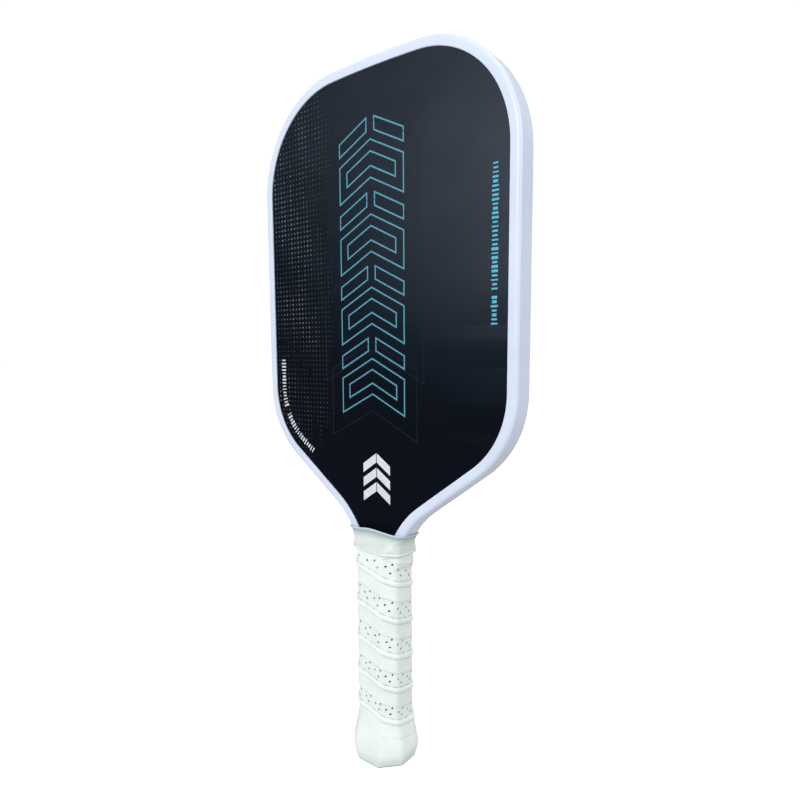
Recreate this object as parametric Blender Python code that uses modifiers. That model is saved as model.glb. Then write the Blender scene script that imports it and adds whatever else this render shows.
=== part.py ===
"""Elongated pickleball paddle: honeycomb core, laminated faces, edge guard and a wrapped handle.

Metres, +Z up along the handle and the head, +X across the face. The front face looks towards -Y and
the middle plane of the paddle is Y = 0. The origin is the centre of the butt's flat end.
"""

import math

import bmesh
import bpy
from mathutils import Matrix, Vector

MM = 0.001

# Outline of the head and the neck, measured on the outside of the edge guard
LENGTH = 419.1 * MM
HALF_WIDTH = 95.25 * MM
CROWN_RADIUS = 800 * MM
TOP_CORNER_RADIUS = 65 * MM
SIDE_END_Z = 232 * MM
LOW_CORNER_RADIUS = 56 * MM
SHOULDER_SLOPE = math.radians(36)
NECK_RADIUS = 57 * MM
NECK_HALF_WIDTH = 12 * MM

# Layers of the panel, from the outside in
GAP = 0.3 * MM
PANEL_THICKNESS = 13 * MM
PLY_THICKNESS = 0.4 * MM
FOAM_WIDTH = 8 * MM
FOAM_END_Z = 166 * MM
CELL_PITCH = 10 * MM
CELL_WALL = 1 * MM
CELL_EDGE_MARGIN = 1.2 * MM

# Edge guard: a channel that grips the rim of the panel
GUARD_WEB = 1.5 * MM
GUARD_LIP_WIDTH = 6 * MM
GUARD_LIP_PROUD = 0.9 * MM
GUARD_END_Z = 138.3 * MM
GUARD_ROUNDING = 1.8 * MM
GUARD_ROUNDING_STEPS = 3

# Tang: the part of the panel that runs down inside the handle
TANG_TOP_Z = 138 * MM
TANG_HALF_WIDTH = 10.2 * MM
TANG_END_Z = 4 * MM

# Handle, seen in section as an octagon: (height, half width, half depth, corner cut)
GRIP_SECTIONS = (
    (2.6 * MM, 18.9 * MM, 16.9 * MM, 10.2 * MM),
    (5 * MM, 19.6 * MM, 17.6 * MM, 10.2 * MM),
    (8.5 * MM, 19.9 * MM, 17.9 * MM, 9.9 * MM),
    (12 * MM, 19.5 * MM, 17.5 * MM, 9.4 * MM),
    (17 * MM, 18.4 * MM, 16.4 * MM, 8.6 * MM),
    (24 * MM, 16.7 * MM, 14.7 * MM, 7.2 * MM),
    (30 * MM, 16.0 * MM, 14.0 * MM, 6.6 * MM),
    (36 * MM, 15.9 * MM, 13.9 * MM, 6.5 * MM),
    (128 * MM, 15.9 * MM, 13.9 * MM, 6.5 * MM),
    (135.8 * MM, 15.7 * MM, 12.3 * MM, 5.2 * MM),
)
STRAIGHT_GRIP_Z = 40 * MM
SKIN_THICKNESS = 0.7 * MM
CUSHION_THICKNESS = 0.9 * MM
PALLET_BOTTOM_Z = 3.6 * MM
PALLET_TOP_Z = 136.6 * MM
TAPE_THICKNESS = 0.2 * MM
TAPE_BOTTOM_Z = 131.8 * MM
TAPE_TOP_Z = 135.6 * MM

# Butt cap: a cup whose rim shows below the grip
CAP_RIM_SECTIONS = (
    (0 * MM, 18.2 * MM, 16.2 * MM, 10.4 * MM),
    (0.8 * MM, 18.7 * MM, 16.7 * MM, 10.4 * MM),
    (2.3 * MM, 18.8 * MM, 16.8 * MM, 10.3 * MM),
)
CAP_TOP_Z = 24 * MM
CAP_FLOOR = 3.3 * MM

# Rubber collar over the joint of grip and neck
COLLAR_THICKNESS = 0.8 * MM
COLLAR_SECTIONS = (
    (132.4 * MM, 17.7 * MM, 15.1 * MM, 6.8 * MM),
    (133.2 * MM, 17.8 * MM, 15.1 * MM, 6.8 * MM),
    (134.4 * MM, 17.5 * MM, 14.7 * MM, 6.5 * MM),
    (136.4 * MM, 17.7 * MM, 14.1 * MM, 5.6 * MM),
    (139.4 * MM, 19.2 * MM, 11.8 * MM, 3.8 * MM),
    (142 * MM, 20.8 * MM, 10.0 * MM, 2.6 * MM),
    (144.2 * MM, 22.1 * MM, 9.6 * MM, 2.4 * MM),
    (146.4 * MM, 24.0 * MM, 10.6 * MM, 3.0 * MM),
)

# Straight stretches that stand for each kind of arc in the outline
CROWN_STEPS = 3
LOW_ARC_STEPS = 9
TOP_CORNER_STEPS = 14
CORNER_RATIO = 2 - math.sqrt(2)


def arc(centre, radius, start, end, steps):
    """Points (x, z) on an arc round centre, between two angles from +X towards +Z."""
    angles = [start + (end - start) * i / steps for i in range(steps + 1)]
    return [(centre[0] + radius * math.cos(a), centre[1] + radius * math.sin(a)) for a in angles]


def half_outline(inset, end_z):
    """Right half of the outline, moved inwards by inset, from the crown down to the height end_z."""
    crown = (0, LENGTH - CROWN_RADIUS)
    reach = CROWN_RADIUS - TOP_CORNER_RADIUS
    corner_x = HALF_WIDTH - TOP_CORNER_RADIUS
    corner = (corner_x, crown[1] + math.sqrt(reach**2 - corner_x**2))
    tangency = math.atan2(corner[1] - crown[1], corner[0])
    low = (HALF_WIDTH - LOW_CORNER_RADIUS, SIDE_END_Z)
    fall = SHOULDER_SLOPE - math.pi / 2
    normal = (math.cos(fall), math.sin(fall))
    shoulder = (low[0] + LOW_CORNER_RADIUS * normal[0], low[1] + LOW_CORNER_RADIUS * normal[1])
    neck_x = NECK_HALF_WIDTH + NECK_RADIUS
    neck_z = shoulder[1] + (NECK_RADIUS - (neck_x - shoulder[0]) * normal[0]) / normal[1]
    neck_radius = NECK_RADIUS + inset
    rise = max(0, end_z - neck_z)
    neck_end = math.pi - math.asin(rise / neck_radius)
    points = arc(crown, CROWN_RADIUS - inset, math.pi / 2, tangency, CROWN_STEPS)
    points += arc(corner, TOP_CORNER_RADIUS - inset, tangency, 0, TOP_CORNER_STEPS)[1:]
    points += arc(low, LOW_CORNER_RADIUS - inset, 0, fall, LOW_ARC_STEPS)
    points += arc((neck_x, neck_z), neck_radius, math.pi + fall, neck_end, LOW_ARC_STEPS)
    if end_z < neck_z:
        points.append((NECK_HALF_WIDTH - inset, end_z))
    return points


def mirrored(points):
    """The same points on the left side, in the opposite order, without those on the axis."""
    return [(-x, z) for x, z in reversed(points) if x > 0]


def cut_at(points, height):
    """Split a falling line of points at a height: those above, and those below it."""
    for i, (upper, lower) in enumerate(zip(points, points[1:])):
        if upper[1] > height >= lower[1]:
            share = (upper[1] - height) / (upper[1] - lower[1])
            crossing = (upper[0] + (lower[0] - upper[0]) * share, height)
            return points[: i + 1] + [crossing], [crossing] + points[i + 1 :]
    return points, []


def with_tang(points):
    """Add the tang below the neck to a half outline."""
    return points + [(TANG_HALF_WIDTH, TANG_TOP_Z), (TANG_HALF_WIDTH, TANG_END_Z)]


def clearance(x, z, outline):
    """Distance from a point to a closed outline, negative outside it."""
    nearest = math.inf
    inside = False
    point = Vector((x, z))
    for a, b in zip(outline, outline[1:] + outline[:1]):
        start, end = Vector(a), Vector(b)
        along = end - start
        share = min(1, max(0, (point - start).dot(along) / along.length_squared))
        nearest = min(nearest, (point - start - along * share).length)
        if (a[1] > z) != (b[1] > z) and x < a[0] + (z - a[1]) * (b[0] - a[0]) / (b[1] - a[1]):
            inside = not inside
    return nearest if inside else -nearest


def hexagon(x, z, across_corners):
    """A hexagonal cell with two sides parallel to the paddle's length."""
    turns = [math.radians(30 + 60 * i) for i in range(6)]
    radius = across_corners / 2
    return [(x + radius * math.cos(a), z + radius * math.sin(a)) for a in turns]


def honeycomb_cells(outline):
    """Every whole cell that fits inside the outline, in staggered rows."""
    across_flats = CELL_PITCH - CELL_WALL
    across_corners = across_flats * 2 / math.sqrt(3)
    row_height = CELL_PITCH * math.sqrt(3) / 2
    rows = int(LENGTH / row_height)
    columns = int(HALF_WIDTH / CELL_PITCH) + 1
    cells = []
    for row in range(rows):
        z = (row + 0.5) * row_height
        stagger = 0.5 * (row % 2)
        for column in range(-columns, columns + 1):
            x = (column + stagger) * CELL_PITCH
            if clearance(x, z, outline) > across_corners / 2 + CELL_EDGE_MARGIN:
                cells.append(hexagon(x, z, across_corners))
    return cells


def octagon(half_width, half_depth, cut):
    """The eight corners of a handle section, counter-clockwise seen from above."""
    narrow_x, narrow_y = half_width - cut, half_depth - cut
    return [
        (half_width, -narrow_y),
        (half_width, narrow_y),
        (narrow_x, half_depth),
        (-narrow_x, half_depth),
        (-half_width, narrow_y),
        (-half_width, -narrow_y),
        (-narrow_x, -half_depth),
        (narrow_x, -half_depth),
    ]


def moved_in(sections, inset):
    """The same sections, each with its eight sides moved inwards."""
    return [(z, w - inset, d - inset, c - inset * CORNER_RATIO) for z, w, d, c in sections]


def section_at(sections, height):
    """The section at a height between two given ones."""
    for low, high in zip(sections, sections[1:]):
        if low[0] <= height <= high[0]:
            share = (height - low[0]) / (high[0] - low[0])
            return tuple(a + (b - a) * share for a, b in zip(low, high))
    raise ValueError("the height is outside the sections")


def between(sections, low, high):
    """The stretch of a list of sections between two heights, with its own end sections."""
    inner = [s for s in sections if low < s[0] < high]
    return [section_at(sections, low), *inner, section_at(sections, high)]


def material(name, colour, roughness, metallic=0.0):
    """A Principled material with a plain finish."""
    made = bpy.data.materials.new(name)
    made.use_nodes = True
    shader = made.node_tree.nodes["Principled BSDF"]
    shader.inputs["Base Color"].default_value = (*colour, 1)
    shader.inputs["Roughness"].default_value = roughness
    shader.inputs["Metallic"].default_value = metallic
    return made


def add(name, data, finish, collection, parent):
    """An object in a collection, with its material and its parent."""
    made = bpy.data.objects.new(name, data)
    data.materials.append(finish)
    collection.objects.link(made)
    made.parent = parent
    return made


def fill_spline(curve, points, closed):
    """Add a line of straight stretches through points to a flat curve."""
    spline = curve.splines.new("POLY")
    spline.points.add(len(points) - 1)
    for point, (x, z) in zip(spline.points, points):
        point.co = (x, z, 0, 1)
    spline.use_cyclic_u = closed


def plate(name, loops, middle_y, thickness, finish, collection, parent):
    """A flat piece from closed outlines: the first is its edge and the others are holes."""
    curve = bpy.data.curves.new(name, "CURVE")
    curve.dimensions = "2D"
    curve.fill_mode = "BOTH"
    curve.extrude = thickness / 2
    for loop in loops:
        fill_spline(curve, loop, True)
    made = add(name, curve, finish, collection, parent)
    made.rotation_euler = (math.pi / 2, 0, 0)
    made.location = (0, middle_y, 0)
    return made


def stack(name, sections, closed, finish, collection, parent):
    """A loft through octagons of unlike proportions, with or without its two end faces."""
    shell = bmesh.new()
    rings = []
    for z, *sizes in sections:
        rings.append([shell.verts.new((x, y, z)) for x, y in octagon(*sizes)])
    for low, high in zip(rings, rings[1:]):
        for i in range(len(low)):
            after = (i + 1) % len(low)
            shell.faces.new((low[i], low[after], high[after], high[i]))
    if closed:
        shell.faces.new(reversed(rings[0]))
        shell.faces.new(rings[-1])
    mesh = bpy.data.meshes.new(name)
    shell.to_mesh(mesh)
    shell.free()
    return add(name, mesh, finish, collection, parent)


def sleeve(name, sections, thickness, finish, collection, parent):
    """A tube whose outside is a loft through octagons, with an even wall."""
    made = stack(name, sections, False, finish, collection, parent)
    wall = made.modifiers.new("wall", "SOLIDIFY")
    wall.thickness = thickness
    wall.offset = -1
    wall.use_even_offset = True
    return made


def block(name, low, high, finish, collection, parent):
    """A box between two opposite corners."""
    size = Vector(high) - Vector(low)
    middle = (Vector(high) + Vector(low)) / 2
    shell = bmesh.new()
    bmesh.ops.create_cube(shell, size=1, matrix=Matrix.Translation(middle) @ Matrix.Diagonal((*size, 1)))
    mesh = bpy.data.meshes.new(name)
    shell.to_mesh(mesh)
    shell.free()
    return add(name, mesh, finish, collection, parent)


def hide_cutter(cutter):
    """Keep a cutting shape out of the model."""
    cutter.hide_render = True
    cutter.display_type = "WIRE"


def cut(piece, cutter):
    """Take a cutting shape away from a piece."""
    hide_cutter(cutter)
    modifier = piece.modifiers.new("cut by " + cutter.name, "BOOLEAN")
    modifier.operation = "DIFFERENCE"
    modifier.object = cutter


def build_panel(parts, root):
    """The honeycomb, its foam rim and the plies on both sides of it."""
    edge = GUARD_WEB + GAP
    outer = half_outline(edge, TANG_TOP_Z)
    panel = with_tang(outer)
    panel_loop = panel + mirrored(panel)
    carbon = material("carbon_ply", (0.012, 0.016, 0.024), 0.42)
    glass = material("glass_ply", (0.5, 0.52, 0.44), 0.5)
    polypropylene = material("polypropylene", (0.6, 0.6, 0.58), 0.55)
    foam = material("rim_foam", (0.75, 0.7, 0.55), 0.8)
    carbon_y = PANEL_THICKNESS / 2 - PLY_THICKNESS / 2
    glass_y = carbon_y - PLY_THICKNESS - GAP
    for side, sign in (("front", -1), ("rear", 1)):
        plate(side + "_carbon_ply", [panel_loop], sign * carbon_y, PLY_THICKNESS, carbon, parts, root)
        plate(side + "_glass_ply", [panel_loop], sign * glass_y, PLY_THICKNESS, glass, parts, root)
    core_thickness = 2 * (glass_y - PLY_THICKNESS / 2 - GAP)

    foam_outer, _ = cut_at(outer, FOAM_END_Z)
    foam_inner, _ = cut_at(half_outline(edge + FOAM_WIDTH, TANG_TOP_Z), FOAM_END_Z)
    rim = mirrored(foam_outer) + foam_outer + foam_inner[:0:-1] + foam_inner[:1]
    rim += [(-x, z) for x, z in foam_inner[1:]]
    plate("perimeter_foam", [rim], 0, core_thickness, foam, parts, root)

    core_top, _ = cut_at(half_outline(edge + FOAM_WIDTH + GAP, TANG_TOP_Z), FOAM_END_Z - GAP)
    _, core_neck = cut_at(panel, FOAM_END_Z - GAP)
    core = core_top + core_neck
    core_loop = core + mirrored(core)
    loops = [core_loop] + honeycomb_cells(core_loop)
    plate("honeycomb_core", loops, 0, core_thickness, polypropylene, parts, root)


def guard_profile(half_thickness):
    """Section of the edge guard: (distance in from the outside, height over the middle plane)."""
    steps = GUARD_ROUNDING_STEPS
    corner = (GUARD_ROUNDING, half_thickness - GUARD_ROUNDING)
    rounding = arc(corner, GUARD_ROUNDING, math.pi, math.pi / 2, steps)
    slot = PANEL_THICKNESS / 2 + GAP
    upper = rounding + [(GUARD_LIP_WIDTH, half_thickness), (GUARD_LIP_WIDTH, slot), (GUARD_WEB, slot)]
    return upper + [(inset, -height) for inset, height in reversed(upper)]


def build_guard(parts, guides, root):
    """The channel round the rim: one section carried along the outline, open at the neck."""
    plastic = material("guard_plastic", (0.76, 0.8, 0.92), 0.35)
    section = bpy.data.curves.new("guard_section", "CURVE")
    section.dimensions = "2D"
    fill_spline(section, guard_profile(PANEL_THICKNESS / 2 + GUARD_LIP_PROUD), True)
    guide = add("guard_section", section, plastic, guides, root)
    hide_cutter(guide)
    right = half_outline(0, GUARD_END_Z)
    path = bpy.data.curves.new("edge_guard", "CURVE")
    path.dimensions = "2D"
    path.bevel_mode = "OBJECT"
    path.bevel_object = guide
    path.use_fill_caps = True
    fill_spline(path, mirrored(right) + right, False)
    guard = add("edge_guard", path, plastic, parts, root)
    guard.rotation_euler = (math.pi / 2, 0, 0)


def build_pallets(parts, cutters, root):
    """Two moulded halves that clamp the tang and give the handle its eight sides."""
    polymer = material("pallet_polymer", (0.16, 0.16, 0.17), 0.6)
    depth = SKIN_THICKNESS + CUSHION_THICKNESS + 2 * GAP
    grip = moved_in(GRIP_SECTIONS, depth)
    straight = section_at(grip, STRAIGHT_GRIP_Z)[1:]
    sections = [(PALLET_BOTTOM_Z, *straight), (grip[-2][0], *straight), (PALLET_TOP_Z, *grip[-1][1:])]
    tang_x = TANG_HALF_WIDTH + GAP
    tang_y = PANEL_THICKNESS / 2 + GAP
    reach = LENGTH
    for side, sign in (("front", -1), ("rear", 1)):
        pallet = stack(side + "_handle_pallet", sections, True, polymer, parts, root)
        low, high = sorted((sign * GAP / 2, -sign * reach))
        rest_corners = (-reach, low, -reach), (reach, high, reach)
        slot_corners = (-tang_x, -tang_y, -reach), (tang_x, tang_y, reach)
        cut(pallet, block(side + "_other_half", *rest_corners, polymer, cutters, root))
        cut(pallet, block(side + "_tang_slot", *slot_corners, polymer, cutters, root))


def build_handle(parts, cutters, root):
    """Butt cap, cushion, skin, finishing tape and collar."""
    cap_plastic = material("cap_plastic", (0.78, 0.8, 0.72), 0.4)
    felt = material("cushion_felt", (0.82, 0.82, 0.8), 0.9)
    leather = material("grip_leather", (0.86, 0.9, 0.88), 0.5)
    tape = material("finishing_tape", (0.8, 0.82, 0.82), 0.45)
    rubber = material("collar_rubber", (0.8, 0.85, 0.78), 0.5)
    depth = SKIN_THICKNESS + CUSHION_THICKNESS + 2 * GAP
    rim_top = CAP_RIM_SECTIONS[-1][0]
    under_grip = between(moved_in(GRIP_SECTIONS, depth), GRIP_SECTIONS[0][0], CAP_TOP_Z)
    neck = (rim_top, *under_grip[0][1:])
    cap = stack("butt_cap", [*CAP_RIM_SECTIONS, neck, *under_grip[1:]], True, cap_plastic, parts, root)
    inside = moved_in([section_at(GRIP_SECTIONS, STRAIGHT_GRIP_Z)], depth - GAP)[0][1:]
    socket = [(z, *inside) for z in (CAP_FLOOR, PALLET_TOP_Z)]
    cut(cap, stack("cap_socket", socket, True, cap_plastic, cutters, root))

    cushion = moved_in(GRIP_SECTIONS, SKIN_THICKNESS + GAP)
    sleeve("grip_cushion", cushion, CUSHION_THICKNESS, felt, parts, root)
    sleeve("grip_skin", GRIP_SECTIONS, SKIN_THICKNESS, leather, parts, root)
    over_grip = moved_in(GRIP_SECTIONS, -TAPE_THICKNESS - GAP)
    under_collar = between(over_grip, TAPE_BOTTOM_Z, TAPE_TOP_Z)
    sleeve("grip_finishing_tape", under_collar, TAPE_THICKNESS, tape, parts, root)
    sleeve("grip_collar", COLLAR_SECTIONS, COLLAR_THICKNESS, rubber, parts, root)


def main():
    for old in list(bpy.data.objects):
        bpy.data.objects.remove(old)
    parts = bpy.data.collections.new("pickleball_paddle")
    cutters = bpy.data.collections.new("cutters")
    bpy.context.scene.collection.children.link(parts)
    bpy.context.scene.collection.children.link(cutters)
    root = bpy.data.objects.new("paddle_origin", None)
    parts.objects.link(root)
    build_panel(parts, root)
    build_guard(parts, cutters, root)
    build_pallets(parts, cutters, root)
    build_handle(parts, cutters, root)


main()
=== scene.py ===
"""Looks of an elongated pickleball paddle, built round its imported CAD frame.

The front face looks towards -Y, +X runs across the face and +Z along the handle and the head. Sizes in
the classes below are in millimetres unless a class says otherwise, and meshes are in metres.
"""

import logging
import math
import random
from dataclasses import dataclass
from enum import Enum
from typing import Any, Callable, Iterable, Sequence

import bmesh
import bpy
import numpy as np
from mathutils import Matrix, Vector


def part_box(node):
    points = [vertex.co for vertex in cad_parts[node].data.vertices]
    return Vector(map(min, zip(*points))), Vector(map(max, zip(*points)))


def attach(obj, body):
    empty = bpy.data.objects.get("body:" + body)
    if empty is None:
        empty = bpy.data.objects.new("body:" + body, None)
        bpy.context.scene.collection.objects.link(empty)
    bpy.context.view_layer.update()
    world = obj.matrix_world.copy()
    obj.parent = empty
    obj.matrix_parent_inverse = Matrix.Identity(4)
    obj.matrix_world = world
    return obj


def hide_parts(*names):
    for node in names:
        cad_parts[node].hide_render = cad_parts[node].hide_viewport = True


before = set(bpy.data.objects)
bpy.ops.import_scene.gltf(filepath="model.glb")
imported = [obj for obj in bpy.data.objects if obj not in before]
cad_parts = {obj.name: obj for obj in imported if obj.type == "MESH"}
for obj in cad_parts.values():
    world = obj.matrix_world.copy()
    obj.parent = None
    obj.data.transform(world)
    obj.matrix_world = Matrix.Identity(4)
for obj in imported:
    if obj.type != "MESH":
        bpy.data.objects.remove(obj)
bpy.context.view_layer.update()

log = logging.getLogger("paddle")
MM = 0.001
BODY = "root"
WELD = 1e-6
Point = tuple[float, float]
Span = tuple[float, float]
Place = tuple[float, float, float]
Colour = tuple[float, float, float]


def shade(red: int, green: int, blue: int) -> Colour:
    """A screen colour, 0 to 255, as the linear colour that the shaders work in."""
    steps = (red / 255, green / 255, blue / 255)
    return tuple(s / 12.92 if s <= 0.04045 else ((s + 0.055) / 1.055) ** 2.4 for s in steps)


def part(value: float, start: float, end: float) -> float:
    """How far a value has come from start to end, held between 0 and 1."""
    return min(1.0, max(0.0, (value - start) / (end - start)))


def add_object(name: str, data: bpy.types.ID) -> bpy.types.Object:
    """Put a new object in the scene.

    Args:
        name: Its name.
        data: The mesh, curve, lamp or camera that it shows.

    Returns:
        The object.
    """
    made = bpy.data.objects.new(name, data)
    bpy.context.scene.collection.objects.link(made)
    return made


def dress(mesh: bpy.types.Mesh, finish: bpy.types.Material) -> None:
    """Give a mesh one material in place of any it had."""
    mesh.materials.clear()
    mesh.materials.append(finish)


# ---------------------------------------------------------------------------------------------------
# Node trees
# ---------------------------------------------------------------------------------------------------


class Signal:
    """A value that a node hands on, which can be used in plain arithmetic."""

    def __init__(self, sheet: "NodeSheet", socket: bpy.types.NodeSocket) -> None:
        """Keep the socket and the tree it belongs to."""
        self.sheet = sheet
        self.socket = socket

    def _math(self, operation: str, first: Any, second: Any) -> "Signal":
        """One Math node on two values."""
        return self.sheet.node("ShaderNodeMath", {"operation": operation}, {0: first, 1: second})

    def __add__(self, other: Any) -> "Signal":
        """Sum."""
        return self._math("ADD", self, other)

    __radd__ = __add__

    def __sub__(self, other: Any) -> "Signal":
        """Difference."""
        return self._math("SUBTRACT", self, other)

    def __rsub__(self, other: Any) -> "Signal":
        """Difference, the other way round."""
        return self._math("SUBTRACT", other, self)

    def __mul__(self, other: Any) -> "Signal":
        """Product."""
        return self._math("MULTIPLY", self, other)

    __rmul__ = __mul__

    def __truediv__(self, other: Any) -> "Signal":
        """Quotient."""
        return self._math("DIVIDE", self, other)

    def __gt__(self, other: Any) -> "Signal":
        """1 where this is greater, and 0 elsewhere."""
        return self._math("GREATER_THAN", self, other)

    def sine(self) -> "Signal":
        """Sine of the value, in radians."""
        return self.sheet.node("ShaderNodeMath", {"operation": "SINE"}, {0: self})

    def ramp(self, low: float, high: float, start: float = 0.0, end: float = 1.0) -> "Signal":
        """A smooth step from start to end, while the value goes from low to high."""
        inputs = {0: self, 1: low, 2: high, 3: start, 4: end}
        return self.sheet.node("ShaderNodeMapRange", {"interpolation_type": "SMOOTHSTEP"}, inputs)

    def beside(self, output: int | str) -> "Signal":
        """Another output of the same node."""
        return Signal(self.sheet, self.socket.node.outputs[output])


class NodeSheet:
    """A node tree that is filled one node at a time."""

    def __init__(self, tree: bpy.types.NodeTree) -> None:
        """Keep the tree."""
        self.tree = tree

    def node(self, kind: str, settings: dict | None = None, inputs: dict | None = None,
             output: int | str = 0) -> Signal:
        """Add a node.

        Args:
            kind: The node's type.
            settings: Its properties, set first. "stops" is a colour ramp's (place, colour) pairs.
            inputs: A value or a Signal for each input socket, by name or number.
            output: The name or number of the output to hand on.

        Returns:
            The chosen output.
        """
        made = self.tree.nodes.new(kind)
        for name, value in (settings or {}).items():
            if name == "stops":
                self._set_stops(made, value)
            else:
                setattr(made, name, value)
        for key, value in (inputs or {}).items():
            if isinstance(value, Signal):
                self.tree.links.new(value.socket, made.inputs[key])
            else:
                made.inputs[key].default_value = value
        return Signal(self, made.outputs[output])

    @staticmethod
    def _set_stops(made: bpy.types.Node, stops: Sequence[tuple[float, Colour]]) -> None:
        """Give a colour ramp its stops.

        Args:
            made: The colour ramp's node.
            stops: The place and the colour of each stop.
        """
        elements = made.color_ramp.elements
        while len(elements) < len(stops):
            elements.new(1.0)
        for element, (place, colour) in zip(elements, stops):
            element.position = place
            element.color = (*colour, 1)


class Recipe(NodeSheet):
    """A surface finish under construction: one Principled shader and what feeds it."""

    def __init__(self, name: str, **constants: Any) -> None:
        """Start a material.

        Args:
            name: The material's name.
            constants: Values of the shader that are the same all over, with _ for spaces in their names.
        """
        self.material = bpy.data.materials.new(name)
        self.material.use_nodes = True
        super().__init__(self.material.node_tree)
        self.shader = self.tree.nodes["Principled BSDF"]
        for title, value in constants.items():
            socket = title.replace("_", " ").title().replace("Ior", "IOR")
            self.shader.inputs[socket].default_value = value
        self.place = self.node("ShaderNodeTexCoord", output="Object")

    def set(self, title: str, value: Signal) -> None:
        """Feed one of the shader's inputs."""
        self.tree.links.new(value.socket, self.shader.inputs[title])

    def axes(self) -> tuple[Signal, Signal, Signal]:
        """The three coordinates, in metres."""
        x = self.node("ShaderNodeSeparateXYZ", None, {0: self.place})
        return x, x.beside(1), x.beside(2)

    def rising(self, low: float, high: float) -> Signal:
        """A smooth step from 0 to 1 between two heights in millimetres."""
        return self.axes()[2].ramp(low * MM, high * MM)

    def attribute(self, name: str) -> Signal:
        """A value that the mesh holds for each of its points."""
        return self.node("ShaderNodeAttribute", {"attribute_name": name}, output="Fac")

    def noise(self, size_mm: float, detail: float = 2.0, stretch: Place = (1, 1, 1)) -> Signal:
        """Soft random values from 0 to 1.

        Args:
            size_mm: How wide a blotch is, more or less.
            detail: How many finer layers are added.
            stretch: How much closer the blotches lie along each axis.

        Returns:
            The value.
        """
        place = self.place
        if stretch != (1, 1, 1):
            place = self.node("ShaderNodeVectorMath", {"operation": "MULTIPLY"}, {0: place, 1: stretch})
        inputs = {"Vector": place, "Scale": 1 / (size_mm * MM), "Detail": detail}
        return self.node("ShaderNodeTexNoise", None, inputs)

    def cells(self, size_mm: float) -> Signal:
        """Distance within a random cell about size_mm across."""
        inputs = {"Vector": self.place, "Scale": 1 / (size_mm * MM)}
        return self.node("ShaderNodeTexVoronoi", {"feature": "F1"}, inputs)

    def blend(self, share: Any, first: Any, second: Any) -> Signal:
        """A mix of two colours.

        Args:
            share: How much of the second one shows.
            first: A Colour or a Signal.
            second: A Colour or a Signal.

        Returns:
            The mixed colour.
        """
        ends = [value if isinstance(value, Signal) else (*value, 1) for value in (first, second)]
        inputs = {0: share, 6: ends[0], 7: ends[1]}
        return self.node("ShaderNodeMix", {"data_type": "RGBA"}, inputs, output=2)

    def uneven(self, size_mm: float, detail: float, roughness: Span, spread: Span = (0.2, 0.8)) -> None:
        """Let the roughness wander between two values.

        Args:
            size_mm: How wide its blotches are.
            detail: How many finer layers the blotches have.
            roughness: The lowest and the highest roughness.
            spread: The noise values at which these are reached.
        """
        self.set("Roughness", self.noise(size_mm, detail).ramp(*spread, *roughness))

    def relief(self, *layers: tuple[Signal, float]) -> None:
        """Give the surface bumps, one layer on top of another.

        Args:
            layers: The height of each layer, 0 to 1, and its depth in millimetres.
        """
        under = {}
        for height, depth_mm in layers:
            inputs = {"Height": height, "Distance": depth_mm * MM, "Strength": 1.0, **under}
            under = {"Normal": self.node("ShaderNodeBump", None, inputs)}
        self.set("Normal", under["Normal"])


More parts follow.
